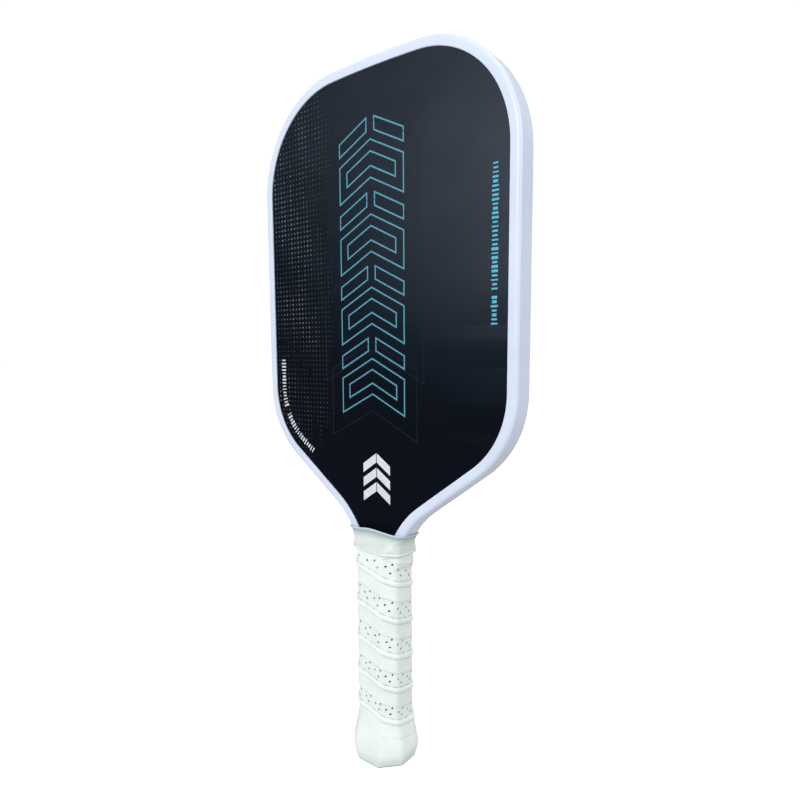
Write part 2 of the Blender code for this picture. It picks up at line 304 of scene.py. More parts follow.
class Pattern(NodeSheet):
    """A Geometry Nodes tree with named inputs, run once on a guide mesh to make a plain piece."""

    KINDS = {float: "NodeSocketFloat", int: "NodeSocketInt", bpy.types.Material: "NodeSocketMaterial",
             bpy.types.Object: "NodeSocketObject"}

    def __init__(self, name: str, sizes: dict[str, Any]) -> None:
        """Open a tree.

        Args:
            name: The tree's name.
            sizes: The named inputs and their values. "Finish" is the material of what it makes.
        """
        super().__init__(bpy.data.node_groups.new(name, "GeometryNodeTree"))
        face = self.tree.interface
        face.new_socket("Geometry", in_out="INPUT", socket_type="NodeSocketGeometry")
        self.sizes = sizes
        self.sockets = {}
        for title, value in sizes.items():
            kind = next(k for t, k in self.KINDS.items() if isinstance(value, t))
            self.sockets[title] = face.new_socket(title, in_out="INPUT", socket_type=kind)
        face.new_socket("Geometry", in_out="OUTPUT", socket_type="NodeSocketGeometry")
        self.entry = self.tree.nodes.new("NodeGroupInput")
        self.guide = self.size("Geometry")

    def size(self, title: str) -> Signal:
        """One of the named inputs."""
        return Signal(self, self.entry.outputs[title])

    def stored(self, name: str, kind: str) -> Signal:
        """A value of the given type that the guide mesh holds for each of its points."""
        return self.node("GeometryNodeInputNamedAttribute", {"data_type": kind}, {"Name": name})

    def curve(self) -> Signal:
        """The guide's edges as a curve that keeps upright."""
        line = self.node("GeometryNodeMeshToCurve", None, {0: self.guide})
        return self.node("GeometryNodeSetCurveNormal", {"mode": "Z_UP"}, {0: line})

    def shape_of(self, title: str) -> Signal:
        """The geometry of an object among the named inputs."""
        return self.node("GeometryNodeObjectInfo", None, {"Object": self.size(title)}, "Geometry")

    def scatter(self, points: Signal, piece: Signal, **inputs: Signal) -> Signal:
        """A copy of a piece on each point, with its Rotation or Scale if given."""
        inputs = {"Points": points, "Instance": piece, **inputs}
        return self.node("GeometryNodeInstanceOnPoints", None, inputs)

    def join(self, geometry: Signal) -> None:
        """End the tree: real geometry, in its finish."""
        real = self.node("GeometryNodeRealizeInstances", None, {0: geometry})
        inputs = {"Geometry": real, "Material": self.size("Finish")}
        dressed = self.node("GeometryNodeSetMaterial", None, inputs)
        out = self.tree.nodes.new("NodeGroupOutput")
        self.tree.links.new(dressed.socket, out.inputs[0])

    def run(self, guide: bpy.types.Mesh, name: str) -> bpy.types.Mesh:
        """Run the tree on a guide mesh.

        Args:
            guide: The mesh that the pattern follows.
            name: The new mesh's name.

        Returns:
            The finished plain mesh.
        """
        carrier = add_object(name + "_guide", guide)
        modifier = carrier.modifiers.new("pattern", "NODES")
        modifier.node_group = self.tree
        for title, value in self.sizes.items():
            modifier[self.sockets[title].identifier] = value
        bpy.context.view_layer.update()
        evaluated = carrier.evaluated_get(bpy.context.evaluated_depsgraph_get())
        mesh = bpy.data.meshes.new_from_object(evaluated)
        mesh.name = name
        carrier.modifiers.remove(modifier)
        bpy.data.objects.remove(carrier)
        return mesh


# ---------------------------------------------------------------------------------------------------
# Finishes
# ---------------------------------------------------------------------------------------------------


@dataclass(frozen=True)
class GuardPlastic:
    """Satin white plastic with a cold cast and a fine mould texture."""

    colour: Colour = shade(217, 228, 246)
    worn: Colour = shade(208, 219, 238)
    blotch_mm: float = 38
    speck_mm: float = 0.7
    roughness: Span = (0.28, 0.4)
    grain_depth: float = 0.006
    wave_depth: float = 0.05

    def make(self) -> bpy.types.Material:
        """Build the material."""
        recipe = Recipe("guard_plastic_finish", ior=1.49)
        patches = recipe.noise(self.blotch_mm, 3) * 0.7 + recipe.noise(self.speck_mm, 3) * 0.3
        recipe.set("Base Color", recipe.blend(patches.ramp(0.3, 0.75), self.colour, self.worn))
        recipe.uneven(9, 4, self.roughness)
        recipe.relief((recipe.noise(0.32, 3), self.grain_depth), (recipe.noise(14, 1), self.wave_depth))
        return recipe.material


@dataclass(frozen=True)
class GripLeather:
    """White synthetic leather with a fine pore grain, greyed by painted shade in its pressed grooves, and
    cream at the foot.
    """

    colour: Colour = shade(240, 249, 247)
    shadow: Colour = shade(232, 242, 240)
    # Grey of the painted shade in the grooves and seams.
    groove: Colour = shade(128, 138, 138)
    foot: Colour = shade(226, 235, 225)
    foot_heights: Span = (2.6, 8.5)
    foot_share: float = 0.85
    roughness: Span = (0.38, 0.52)
    pore_mm: float = 0.55
    pore_depth: float = 0.012
    wave_depth: float = 0.06

    def make(self) -> bpy.types.Material:
        """Build the material: a point attribute of the mesh says how much painted shade greys each groove and
        seam.
        """
        recipe = Recipe("grip_leather_finish", ior=1.48, sheen_weight=0.12, sheen_roughness=0.4)
        body = recipe.blend(recipe.noise(16, 3).ramp(0.3, 0.75), self.colour, self.shadow)
        share = self.foot_share - recipe.rising(*self.foot_heights) * self.foot_share
        body = recipe.blend(share, body, self.foot)
        # Painted shade: greys the grooves, seams and lap edges as far as the mesh's attribute says.
        recipe.set("Base Color", recipe.blend(recipe.attribute("pressed"), body, self.groove))
        recipe.uneven(5, 3, self.roughness, (0.25, 0.75))
        grain = recipe.cells(self.pore_mm).ramp(0.05, 0.6) * 0.6 + recipe.noise(0.3, 3) * 0.4
        recipe.relief((grain, self.pore_depth), (recipe.noise(6, 2), self.wave_depth))
        return recipe.material


@dataclass(frozen=True)
class CollarRubber:
    """Cream rubber: whiter on its rolled lower edge, bluish on its thin stretched lip, with painted shadow
    under the lip.
    """

    body: Colour = shade(218, 228, 222)
    mottle: Colour = shade(211, 221, 214)
    rolled: Colour = shade(224, 233, 230)
    lip: Colour = shade(206, 221, 229)
    # Bluish grey of the painted shadow under the lip.
    tucked: Colour = shade(166, 182, 193)
    rolled_end: Span = (133.9, 134.1)
    # Heights over which that painted shadow grows towards the lip, and its strength.
    tuck: Span = (140.6, 144.9)
    tuck_share: float = 0.95
    lip_start: Span = (145.0, 145.5)
    roughness: Span = (0.36, 0.5)
    grain_depth: float = 0.01
    wave_depth: float = 0.08

    def make(self) -> bpy.types.Material:
        """Build the material: the level attribute is a point's height before the lip was pulled askew."""
        recipe = Recipe("collar_rubber_finish", ior=1.5)
        level = recipe.attribute("level")
        colour = recipe.blend(recipe.noise(5, 3).ramp(0.3, 0.8), self.body, self.mottle)
        # Painted shadow: a bluish grey band under the lip, strongest just below it.
        colour = recipe.blend(level.ramp(*self.tuck) * self.tuck_share, colour, self.tucked)
        colour = recipe.blend(level.ramp(*self.lip_start), colour, self.lip)
        recipe.set("Base Color", recipe.blend(level.ramp(*self.rolled_end), self.rolled, colour))
        recipe.uneven(3, 3, self.roughness)
        recipe.relief((recipe.noise(0.4, 3), self.grain_depth), (recipe.noise(9, 1), self.wave_depth))
        return recipe.material


@dataclass(frozen=True)
class CapPlastic:
    """Cream moulded plastic, tinted where light pipes through its lower edge."""

    body: Colour = shade(226, 235, 224)
    mottle: Colour = shade(217, 226, 214)
    edge: Colour = shade(72, 150, 158)
    edge_heights: Span = (0.8, 1.5)
    roughness: Span = (0.32, 0.46)
    grain_depth: float = 0.008

    def make(self) -> bpy.types.Material:
        """Build the material."""
        recipe = Recipe("cap_plastic_finish", ior=1.5)
        body = recipe.blend(recipe.noise(8, 3).ramp(0.3, 0.8), self.body, self.mottle)
        recipe.set("Base Color", recipe.blend(recipe.rising(*self.edge_heights), self.edge, body))
        recipe.uneven(4, 3, self.roughness)
        recipe.relief((recipe.noise(0.3, 3), self.grain_depth))
        return recipe.material


@dataclass(frozen=True)
class PrintedCarbon:
    """Printed carbon face: near black at the throat and slate at the crown, part print and part painted
    sheen; faint steps of tone.
    """

    mirror: float
    tones: tuple[tuple[float, Colour], ...] = (
        (0.0, shade(5, 9, 20)), (0.12, shade(9, 15, 25)), (0.32, shade(17, 27, 36)),
        (0.6, shade(40, 46, 55)), (1.0, shade(64, 71, 80)))
    # The rise and the lean below are part print tone and part painted sheen of the studio light.
    rise_heights: Span = (196, 405)
    rise_share: float = 0.365
    lean_start: float = -60
    lean_width: float = 144
    lean_shares: Span = (0.47, 0.07)
    spread_heights: Span = (205, 300)
    crown_heights: Span = (330, 430)
    crown_fall: float = 0.55
    step_heights: tuple[float, ...] = (203.8, 210.4, 225.1, 245.1, 259.7, 266.9)
    step_blur: float = 0.35
    step_share: float = 0.05
    step_start: Span = (38, 84)
    step_end: Span = (268, 285)
    cloud_mm: float = 26
    cloud_share: float = 0.06
    roughness: Span = (0.4, 0.54)
    weave_pitch: float = 0.9
    weave_depth: float = 0.003
    grit_depth: float = 0.01

    def make(self) -> bpy.types.Material:
        """Build the material: tone rises with height and leans towards the right, seen face on, as print tone
        and painted sheen.
        """
        recipe = Recipe("carbon_print_and_sheen_finish", ior=1.45, specular_ior_level=0.04)
        x, _, z = recipe.axes()
        across, height = x * (self.mirror / MM), z * (1 / MM)
        rise = height.ramp(*self.rise_heights)
        lean = (across - self.lean_start) * (1 / self.lean_width)
        spread = height.ramp(*self.spread_heights) * (1 - height.ramp(*self.crown_heights) * self.crown_fall)
        cloud = recipe.noise(self.cloud_mm, 3).ramp(0.25, 0.8) * self.cloud_share
        # Painted sheen: the lighter upper right stands partly for the studio light's reflection and partly
        # for print tone.
        tone = rise * self.rise_share + lean * (spread * self.lean_shares[0] + self.lean_shares[1])
        tone = tone + self._steps(across, height) + cloud * (rise + 0.2)
        recipe.set("Base Color", recipe.node("ShaderNodeValToRGB", {"stops": self.tones}, {0: tone}))
        recipe.uneven(0.5, 3, self.roughness)
        turns_a_mm = 2 * math.pi / self.weave_pitch
        weave = (across * turns_a_mm).sine() * (height * turns_a_mm).sine()
        recipe.relief((recipe.noise(0.16, 3), self.grit_depth), (weave * 0.5 + 0.5, self.weave_depth))
        return recipe.material

    def _steps(self, across: Signal, height: Signal) -> Signal:
        """The faint bands beside the right edge, lighter and darker by turns.

        Args:
            across: Distance to the right of the middle, seen face on.
            height: Height on the paddle.

        Returns:
            What the bands add to the tone.
        """
        total = -1
        for i, level in enumerate(self.step_heights):
            edge = height.ramp(level - self.step_blur, level + self.step_blur)
            total = edge * (2.0 if i % 2 == 0 else -2.0) + total
        fade = 1 - height.ramp(*self.step_end)
        return total * across.ramp(*self.step_start) * self.step_share * fade


class Ink(Enum):
    """The inks of the face print: (colour, roughness, shine)."""

    TEAL = (shade(84, 156, 178), 0.42, 0.3)
    BRIGHT_TEAL = (shade(88, 184, 213), 0.42, 0.3)
    WHITE = (shade(224, 230, 236), 0.4, 0.4)
    SILVER = (shade(222, 228, 234), 0.34, 0.5)
    GHOST = (shade(22, 30, 39), 0.36, 0.2)
    DOT_GREY = (shade(92, 98, 110), 0.42, 0.3)

    def make(self) -> bpy.types.Material:
        """Build the material: a thin screen-printed film, and on a dot as strong as its tone attribute."""
        colour, roughness, shine = self.value
        recipe = Recipe(self.name.lower() + "_ink", specular_ior_level=shine)
        thin = tuple(c * 0.8 for c in colour)
        film = recipe.blend(recipe.noise(1.2, 3).ramp(0.3, 0.8), colour, thin)
        if self is Ink.DOT_GREY:
            film = recipe.blend(recipe.attribute("tone"), shade(22, 29, 38), film)
        recipe.set("Base Color", film)
        recipe.uneven(0.8, 2, (roughness - 0.05, roughness + 0.07))
        recipe.relief((recipe.noise(0.25, 2), 0.006))
        return recipe.material


@dataclass(frozen=True)
class InnerFinish:
    """Plain but real finish of a piece that is hidden inside: base, speckle, grain and roughness."""

    name: str
    base: Colour
    speckle: Colour
    grain_mm: float
    roughness: float
    depth_mm: float = 0.02
    stretch: Place = (1, 1, 1)

    def make(self) -> bpy.types.Material:
        """Build the material."""
        recipe = Recipe(self.name + "_finish")
        grain = recipe.noise(self.grain_mm, 4, self.stretch)
        recipe.set("Base Color", recipe.blend(grain.ramp(0.3, 0.7), self.base, self.speckle))
        recipe.uneven(self.grain_mm * 4, 2, (self.roughness - 0.06, self.roughness + 0.08))
        recipe.relief((grain, self.depth_mm))
        return recipe.material


# ---------------------------------------------------------------------------------------------------
# Shapes
# ---------------------------------------------------------------------------------------------------


def arc(centre: Point, radius: float, start: float, end: float, steps: int) -> list[Point]:
    """Points on an arc round centre, between two angles from +X towards +Z."""
    angles = [start + (end - start) * i / steps for i in range(steps + 1)]
    return [(centre[0] + radius * math.cos(a), centre[1] + radius * math.sin(a)) for a in angles]


def put(name: str, mesh: bpy.types.Mesh, finish: bpy.types.Material | None = None, sharp: float = 35,
        stands_for: Sequence[str] = ()) -> None:
    """Place a finished piece on the paddle.

    Args:
        name: The piece's name.
        mesh: Its mesh, in metres, where it belongs.
        finish: Its material, unless the mesh has one.
        sharp: Edges that turn more than this many degrees stay crisp.
        stands_for: The CAD nodes that it replaces.
    """
    if finish is not None:
        dress(mesh, finish)
    mesh.shade_smooth()
    mesh.set_sharp_from_angle(angle=math.radians(sharp))
    piece = add_object(name, mesh)
    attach(piece, BODY)
    if stands_for:
        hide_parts(*stands_for)
    log.info("%s: %d faces", name, len(mesh.polygons))


def turn_outwards(shell: bmesh.types.BMesh, mesh: bpy.types.Mesh) -> bpy.types.Mesh:
    """Close a shell's seams, point its faces outwards and keep it as a mesh.

    Args:
        shell: The shell, which is freed.
        mesh: The mesh that takes it.

    Returns:
        The same mesh.
    """
    bmesh.ops.remove_doubles(shell, verts=shell.verts, dist=WELD)
    bmesh.ops.recalc_face_normals(shell, faces=shell.faces)
    shell.to_mesh(mesh)
    shell.free()
    return mesh


def mesh_of(name: str, build: Callable[[bmesh.types.BMesh], Any]) -> bpy.types.Mesh:
    """A mesh filled by a function, with its normals turned outwards.

    Args:
        name: The mesh's name.
        build: Adds the vertices and faces.

    Returns:
        The mesh.
    """
    shell = bmesh.new()
    build(shell)
    return turn_outwards(shell, bpy.data.meshes.new(name))


def path_mesh(name: str, points: Iterable[Sequence[float]], joined: bool = True) -> bpy.types.Mesh:
    """A guide mesh for a pattern.

    Args:
        name: The mesh's name.
        points: Its points, in metres.
        joined: True if edges join them into one open line.

    Returns:
        The mesh.
    """
    places = [tuple(p) for p in points]
    edges = [(i, i + 1) for i in range(len(places) - 1)] if joined else []
    mesh = bpy.data.meshes.new(name)
    mesh.from_pydata(places, edges, [])
    return mesh


def band(shell: bmesh.types.BMesh, low: Sequence[bmesh.types.BMVert],
         high: Sequence[bmesh.types.BMVert]) -> None:
    """Join two closed rings of the same number of vertices with a band of faces."""
    for i in range(len(low)):
        after = (i + 1) % len(low)
        shell.faces.new((low[i], low[after], high[after], high[i]))


@dataclass(frozen=True)
class Outline:
    """Outline of the head and the neck, measured on the outside of the edge guard."""

    length: float = 419.1
    half_width: float = 95.25
    crown_radius: float = 800
    top_corner_radius: float = 65
    side_end_z: float = 232
    low_corner_radius: float = 56
    shoulder_slope: float = math.radians(36)
    neck_radius: float = 57
    neck_half_width: float = 12

    def half(self, inset: float, end_z: float) -> list[Point]:
        """Right half of the outline, from the crown down the right side.

        Args:
            inset: How far it is moved inwards.
            end_z: The height at which it ends, on the neck.

        Returns:
            Points across and up the face, on five arcs and the straights between them.
        """
        crown = (0.0, self.length - self.crown_radius)
        reach = self.crown_radius - self.top_corner_radius
        corner_x = self.half_width - self.top_corner_radius
        corner = (corner_x, crown[1] + math.sqrt(reach**2 - corner_x**2))
        tangency = math.atan2(corner[1] - crown[1], corner[0])
        low = (self.half_width - self.low_corner_radius, self.side_end_z)
        fall = self.shoulder_slope - math.pi / 2
        normal = (math.cos(fall), math.sin(fall))
        shoulder = (low[0] + self.low_corner_radius * normal[0], low[1] + self.low_corner_radius * normal[1])
        neck_x = self.neck_half_width + self.neck_radius
        neck_z = shoulder[1] + (self.neck_radius - (neck_x - shoulder[0]) * normal[0]) / normal[1]
        radius = self.neck_radius + inset
        neck_end = math.pi - math.asin(max(0, end_z - neck_z) / radius)
        points = arc(crown, self.crown_radius - inset, math.pi / 2, tangency, 10)
        points += arc(corner, self.top_corner_radius - inset, tangency, 0, 40)[1:]
        points += arc(low, self.low_corner_radius - inset, 0, fall, 24)
        points += arc((neck_x, neck_z), radius, math.pi + fall, neck_end, 26)
        return points

    def whole(self, inset: float, end_z: float) -> list[Point]:
        """The outline from the left of the neck over the crown to the right of the neck."""
        right = self.half(inset, end_z)
        return [(-x, z) for x, z in reversed(right) if x > 0] + right


@dataclass(frozen=True)
class HandleShape:
    """Octagons with rounded corners, stacked along the handle.

    A section is (height, half width, half depth, corner cut, crispness), and a smooth line joins each of
    these values to the next section's. The higher the crispness, the less the corners are rounded.
    """

    sections: tuple[tuple[float, float, float, float, float], ...]

    def radius(self, turn: np.ndarray, z: np.ndarray, inset: float = 0.0) -> np.ndarray:
        """Distance from the axis to the surface.

        Args:
            turn: Angle round the axis, from +X towards +Y.
            z: Height.
            inset: How far the eight sides are moved inwards.

        Returns:
            The distance.
        """
        table = np.array(self.sections)
        wide, deep, cut, k = (self._smooth(z, table[:, 0], table[:, i]) for i in (1, 2, 3, 4))
        wide, deep, cut = wide - inset, deep - inset, cut - inset * (2 - math.sqrt(2))
        x, y = np.abs(np.cos(turn)), np.abs(np.sin(turn))
        total = (x / wide) ** k + (y / deep) ** k + ((x + y) / (wide + deep - cut)) ** k
        return total ** (-1 / k)

    @staticmethod
    def _smooth(z: np.ndarray, heights: np.ndarray, values: np.ndarray) -> np.ndarray:
        """A smooth line through given values, flat past both ends.

        Args:
            z: Where its value is wanted.
            heights: The heights of the given values.
            values: The given values.

        Returns:
            The line's value at z.
        """
        slopes = np.gradient(values, heights)
        z = np.clip(z, heights[0], heights[-1])
        i = np.clip(np.searchsorted(heights, z) - 1, 0, len(heights) - 2)
        span = heights[i + 1] - heights[i]
        t = (z - heights[i]) / span
        return ((2 * t**3 - 3 * t**2 + 1) * values[i] + (t**3 - 2 * t**2 + t) * span * slopes[i]
                + (3 * t**2 - 2 * t**3) * values[i + 1] + (t**3 - t**2) * span * slopes[i + 1])

    def points(self, turn: np.ndarray, z: np.ndarray, inset: float = 0.0) -> np.ndarray:
        """Places on the surface, in millimetres."""
        radius = self.radius(turn, z, inset)
        return np.stack([radius * np.cos(turn), radius * np.sin(turn), z + 0 * turn], -1)

    def normals(self, turn: np.ndarray, z: np.ndarray) -> np.ndarray:
        """Outward directions on the surface.

        Args:
            turn: Angle round the axis, from +X towards +Y.
            z: Height.

        Returns:
            A direction of length 1 for each point.
        """
        step, rise = 1e-3, 1e-2
        around = self.points(turn + step, z) - self.points(turn - step, z)
        along = self.points(turn, z + rise) - self.points(turn, z - rise)
        outward = np.cross(around, along)
        return outward / np.linalg.norm(outward, axis=-1, keepdims=True)


def loft(name: str, rings: Sequence[np.ndarray], levels: Sequence[float] | None = None) -> bpy.types.Mesh:
    """Skin a list of closed rings, in millimetres.

    Args:
        name: The mesh's name.
        rings: Rings with the same number of points.
        levels: A value for each ring, kept as the attribute "level". With levels the last ring joins the
            first; without them both ends are filled flat.

    Returns:
        The closed mesh.
    """
    def build(shell: bmesh.types.BMesh) -> None:
        """Fill the mesh."""
        mark = shell.verts.layers.float.new("level") if levels else None
        made = [[shell.verts.new(Vector(p) * MM) for p in ring] for ring in rings]
        for ring, level in zip(made, levels or ()):
            for vert in ring:
                vert[mark] = level
        for low, high in zip(made, made[1:]):
            band(shell, low, high)
        if levels:
            band(shell, made[-1], made[0])
        else:
            shell.faces.new(made[0])
            shell.faces.new(made[-1])
    return mesh_of(name, build)


# ---------------------------------------------------------------------------------------------------
# Sub-assemblies
# ---------------------------------------------------------------------------------------------------


@dataclass(frozen=True)
class Lamp:
    """A large soft round light, aimed at a height on the paddle's axis; its sizes are in metres."""

    name: str
    place: Place
    aim_z: float
    size: float
    power: float
    colour: Colour = (1.0, 1.0, 1.0)

    def build(self) -> None:
        """Hang the light."""
        lamp = bpy.data.lights.new(self.name, "AREA")
        lamp.shape = "DISK"
        lamp.size = self.size
        lamp.energy = self.power
        lamp.color = self.colour
        light = add_object(self.name, lamp)
        light.location = self.place
        aim = Vector((0, 0, self.aim_z)) - Vector(self.place)
        light.rotation_euler = aim.to_track_quat("-Z", "Y").to_euler()


@dataclass
class Studio:
    """Camera, floor, backdrop and soft lights; its sizes are in metres."""

    camera_place: Place = (0.2349, -0.2660, 0.2479)
    right: Place = (0.81479, 0.57975, 0.00235)
    forward: Place = (-0.57636, 0.81045, -0.10474)
    lens: float = 26.34
    sensor_width: float = 36
    shift: Span = (-0.056, 0.030)
    clip: Span = (0.01, 100)
    floor_size: float = 60.0
    floor_drop: float = 0.0002
    floor_glow: float = 0.62
    backdrop: float = 1.02
    room: Span = (0.6, 0.55)
    lamps: tuple[Lamp, ...] = (
        Lamp("key", (0.2, -1.3, 0.85), 0.22, 0.8, 12.3),
        Lamp("top", (0.3, -0.1, 1.6), 0.2, 0.7, 2.4),
        Lamp("right_fill", (1.0, 0.25, 0.75), 0.3, 0.5, 2.9, (0.97, 0.98, 1.0)),
        Lamp("rear_fill", (-0.5, 1.2, 0.7), 0.22, 0.8, 7.0))

    def build(self) -> None:
        """Make everything that isn't the paddle."""
        self._camera()
        self._floor()
        self._world()
        for lamp in self.lamps:
            lamp.build()
        bpy.context.scene.view_settings.view_transform = "Standard"
        log.info("studio ready")

    def _camera(self) -> None:
        """The camera, looking slightly down across the front face."""
        lens = bpy.data.cameras.new("camera")
        lens.lens = self.lens
        lens.sensor_width = self.sensor_width
        lens.shift_x, lens.shift_y = self.shift
        lens.clip_start, lens.clip_end = self.clip
        camera = add_object("camera", lens)
        right, back = Vector(self.right).normalized(), -Vector(self.forward).normalized()
        turned = Matrix((right, back.cross(right), back)).transposed().to_4x4()
        camera.matrix_world = Matrix.Translation(self.camera_place) @ turned
        bpy.context.scene.camera = camera

    def _floor(self) -> None:
        """A wide pale floor under the paddle, which glows and throws no light on it."""
        grid = {"x_segments": 2, "y_segments": 2, "size": self.floor_size / 2}
        mesh = mesh_of("floor", lambda shell: bmesh.ops.create_grid(shell, **grid))
        recipe = Recipe("floor_finish", roughness=0.9, specular_ior_level=0.0,
                        emission_strength=self.floor_glow, emission_color=(1, 1, 1, 1))
        recipe.set("Base Color", recipe.blend(recipe.noise(900, 2), (0.93, 0.93, 0.93), (0.9, 0.9, 0.9)))
        dress(mesh, recipe.material)
        floor = add_object("floor", mesh)
        floor.location = (0, 0, -self.floor_drop)
        floor.visible_diffuse = False
        floor.visible_glossy = False

    def _world(self) -> None:
        """A white backdrop, and a softer room that lights the paddle."""
        world = bpy.data.worlds.new("room")
        world.use_nodes = True
        bpy.context.scene.world = world
        sheet = NodeSheet(world.node_tree)
        background = world.node_tree.nodes["Background"]
        background.inputs["Color"].default_value = (1, 1, 1, 1)
        seen = sheet.node("ShaderNodeLightPath", output="Is Camera Ray")
        direction = sheet.node("ShaderNodeTexCoord", output="Generated")
        upward = sheet.node("ShaderNodeSeparateXYZ", None, {0: direction}, "Z")
        strength = seen * self.backdrop + (1 - seen) * upward.ramp(-0.5, 0.5, *self.room)
        world.node_tree.links.new(strength.socket, background.inputs["Strength"])


@dataclass
class EdgeGuard:
    """The moulded channel that grips the rim: one section swept along the outline."""

    outline: Outline
    panel_thickness: float = 13.0
    lip_width: float = 6.0
    lip_flat: float = 3.4
    lip_proud: float = 0.9
    web: float = 1.5
    seat_gap: float = 0.06
    rounding: float = 2.3
    rounding_start: float = 0.98 * math.pi
    lip_rounding: float = 0.35
    crown: float = 0.12
    side_rows: tuple[float, ...] = (0.0, 1.3, 2.6, 3.9)
    end_z: float = 138.3

    def _section(self) -> list[Point]:
        """The channel's section: (distance in from the outside, distance from the middle plane)."""
        top = self.panel_thickness / 2 + self.lip_proud
        seat = self.panel_thickness / 2 + self.seat_gap
        flank = top - self.rounding
        side = [(self.crown * (y / flank) ** 2, y) for y in self.side_rows]
        shoulder = arc((self.rounding, flank), self.rounding, self.rounding_start, math.pi / 2, 9)
        lip_end = self.lip_width - self.lip_rounding
        lip = arc((lip_end, top - self.lip_rounding), self.lip_rounding, math.pi / 2, 0, 4)
        inside = [(self.lip_width, seat), (self.web, seat)]
        upper = side[1:] + shoulder + [(self.lip_flat, top)] + lip + inside
        return [side[0]] + upper + [(inset, -y) for inset, y in reversed(upper)]

    def build(self) -> None:
        """Sweep the section along the outline."""
        section = bpy.data.curves.new("guard_section", "CURVE")
        section.dimensions = "2D"
        spline = section.splines.new("POLY")
        profile = self._section()
        spline.points.add(len(profile) - 1)
        for point, (inset, y) in zip(spline.points, profile):
            point.co = (inset * MM, y * MM, 0, 1)
        spline.use_cyclic_u = True
        guide = add_object("guard_section", section)
        sweep = Pattern("guard_sweep", {"Section": guide, "Finish": GuardPlastic().make()})
        inputs = {"Curve": sweep.curve(), "Profile Curve": sweep.shape_of("Section"), "Fill Caps": True}
        tube = sweep.node("GeometryNodeCurveToMesh", None, inputs)
        upright = {"Geometry": tube, "Rotation": (math.pi / 2, 0, 0)}
        sweep.join(sweep.node("GeometryNodeTransform", None, upright))
        points = [(x * MM, z * MM, 0) for x, z in self.outline.whole(0, self.end_z)]
        mesh = sweep.run(path_mesh("guard_path", points), "rim_guard")
        bpy.data.objects.remove(guide)
        shell = bmesh.new()
        shell.from_mesh(mesh)
        turn_outwards(shell, mesh)
        put("rim_guard", mesh, sharp=30, stands_for=["edge_guard"])


class Facing(Enum):
    """The two faces: (name, direction of the face along Y)."""

    FRONT = ("front", -1)
    REAR = ("rear", 1)


@dataclass(frozen=True)
class BarRow:
    """A row of short bars across a line: the greatest size of a bar, and the share of the line left bare."""

    name: str
    ink: Ink
    pitch: float
    length: float
    width: float
    bare: Span
    lengths: Span = (0.62, 1.0)
    widths: Span = (0.7, 1.6)


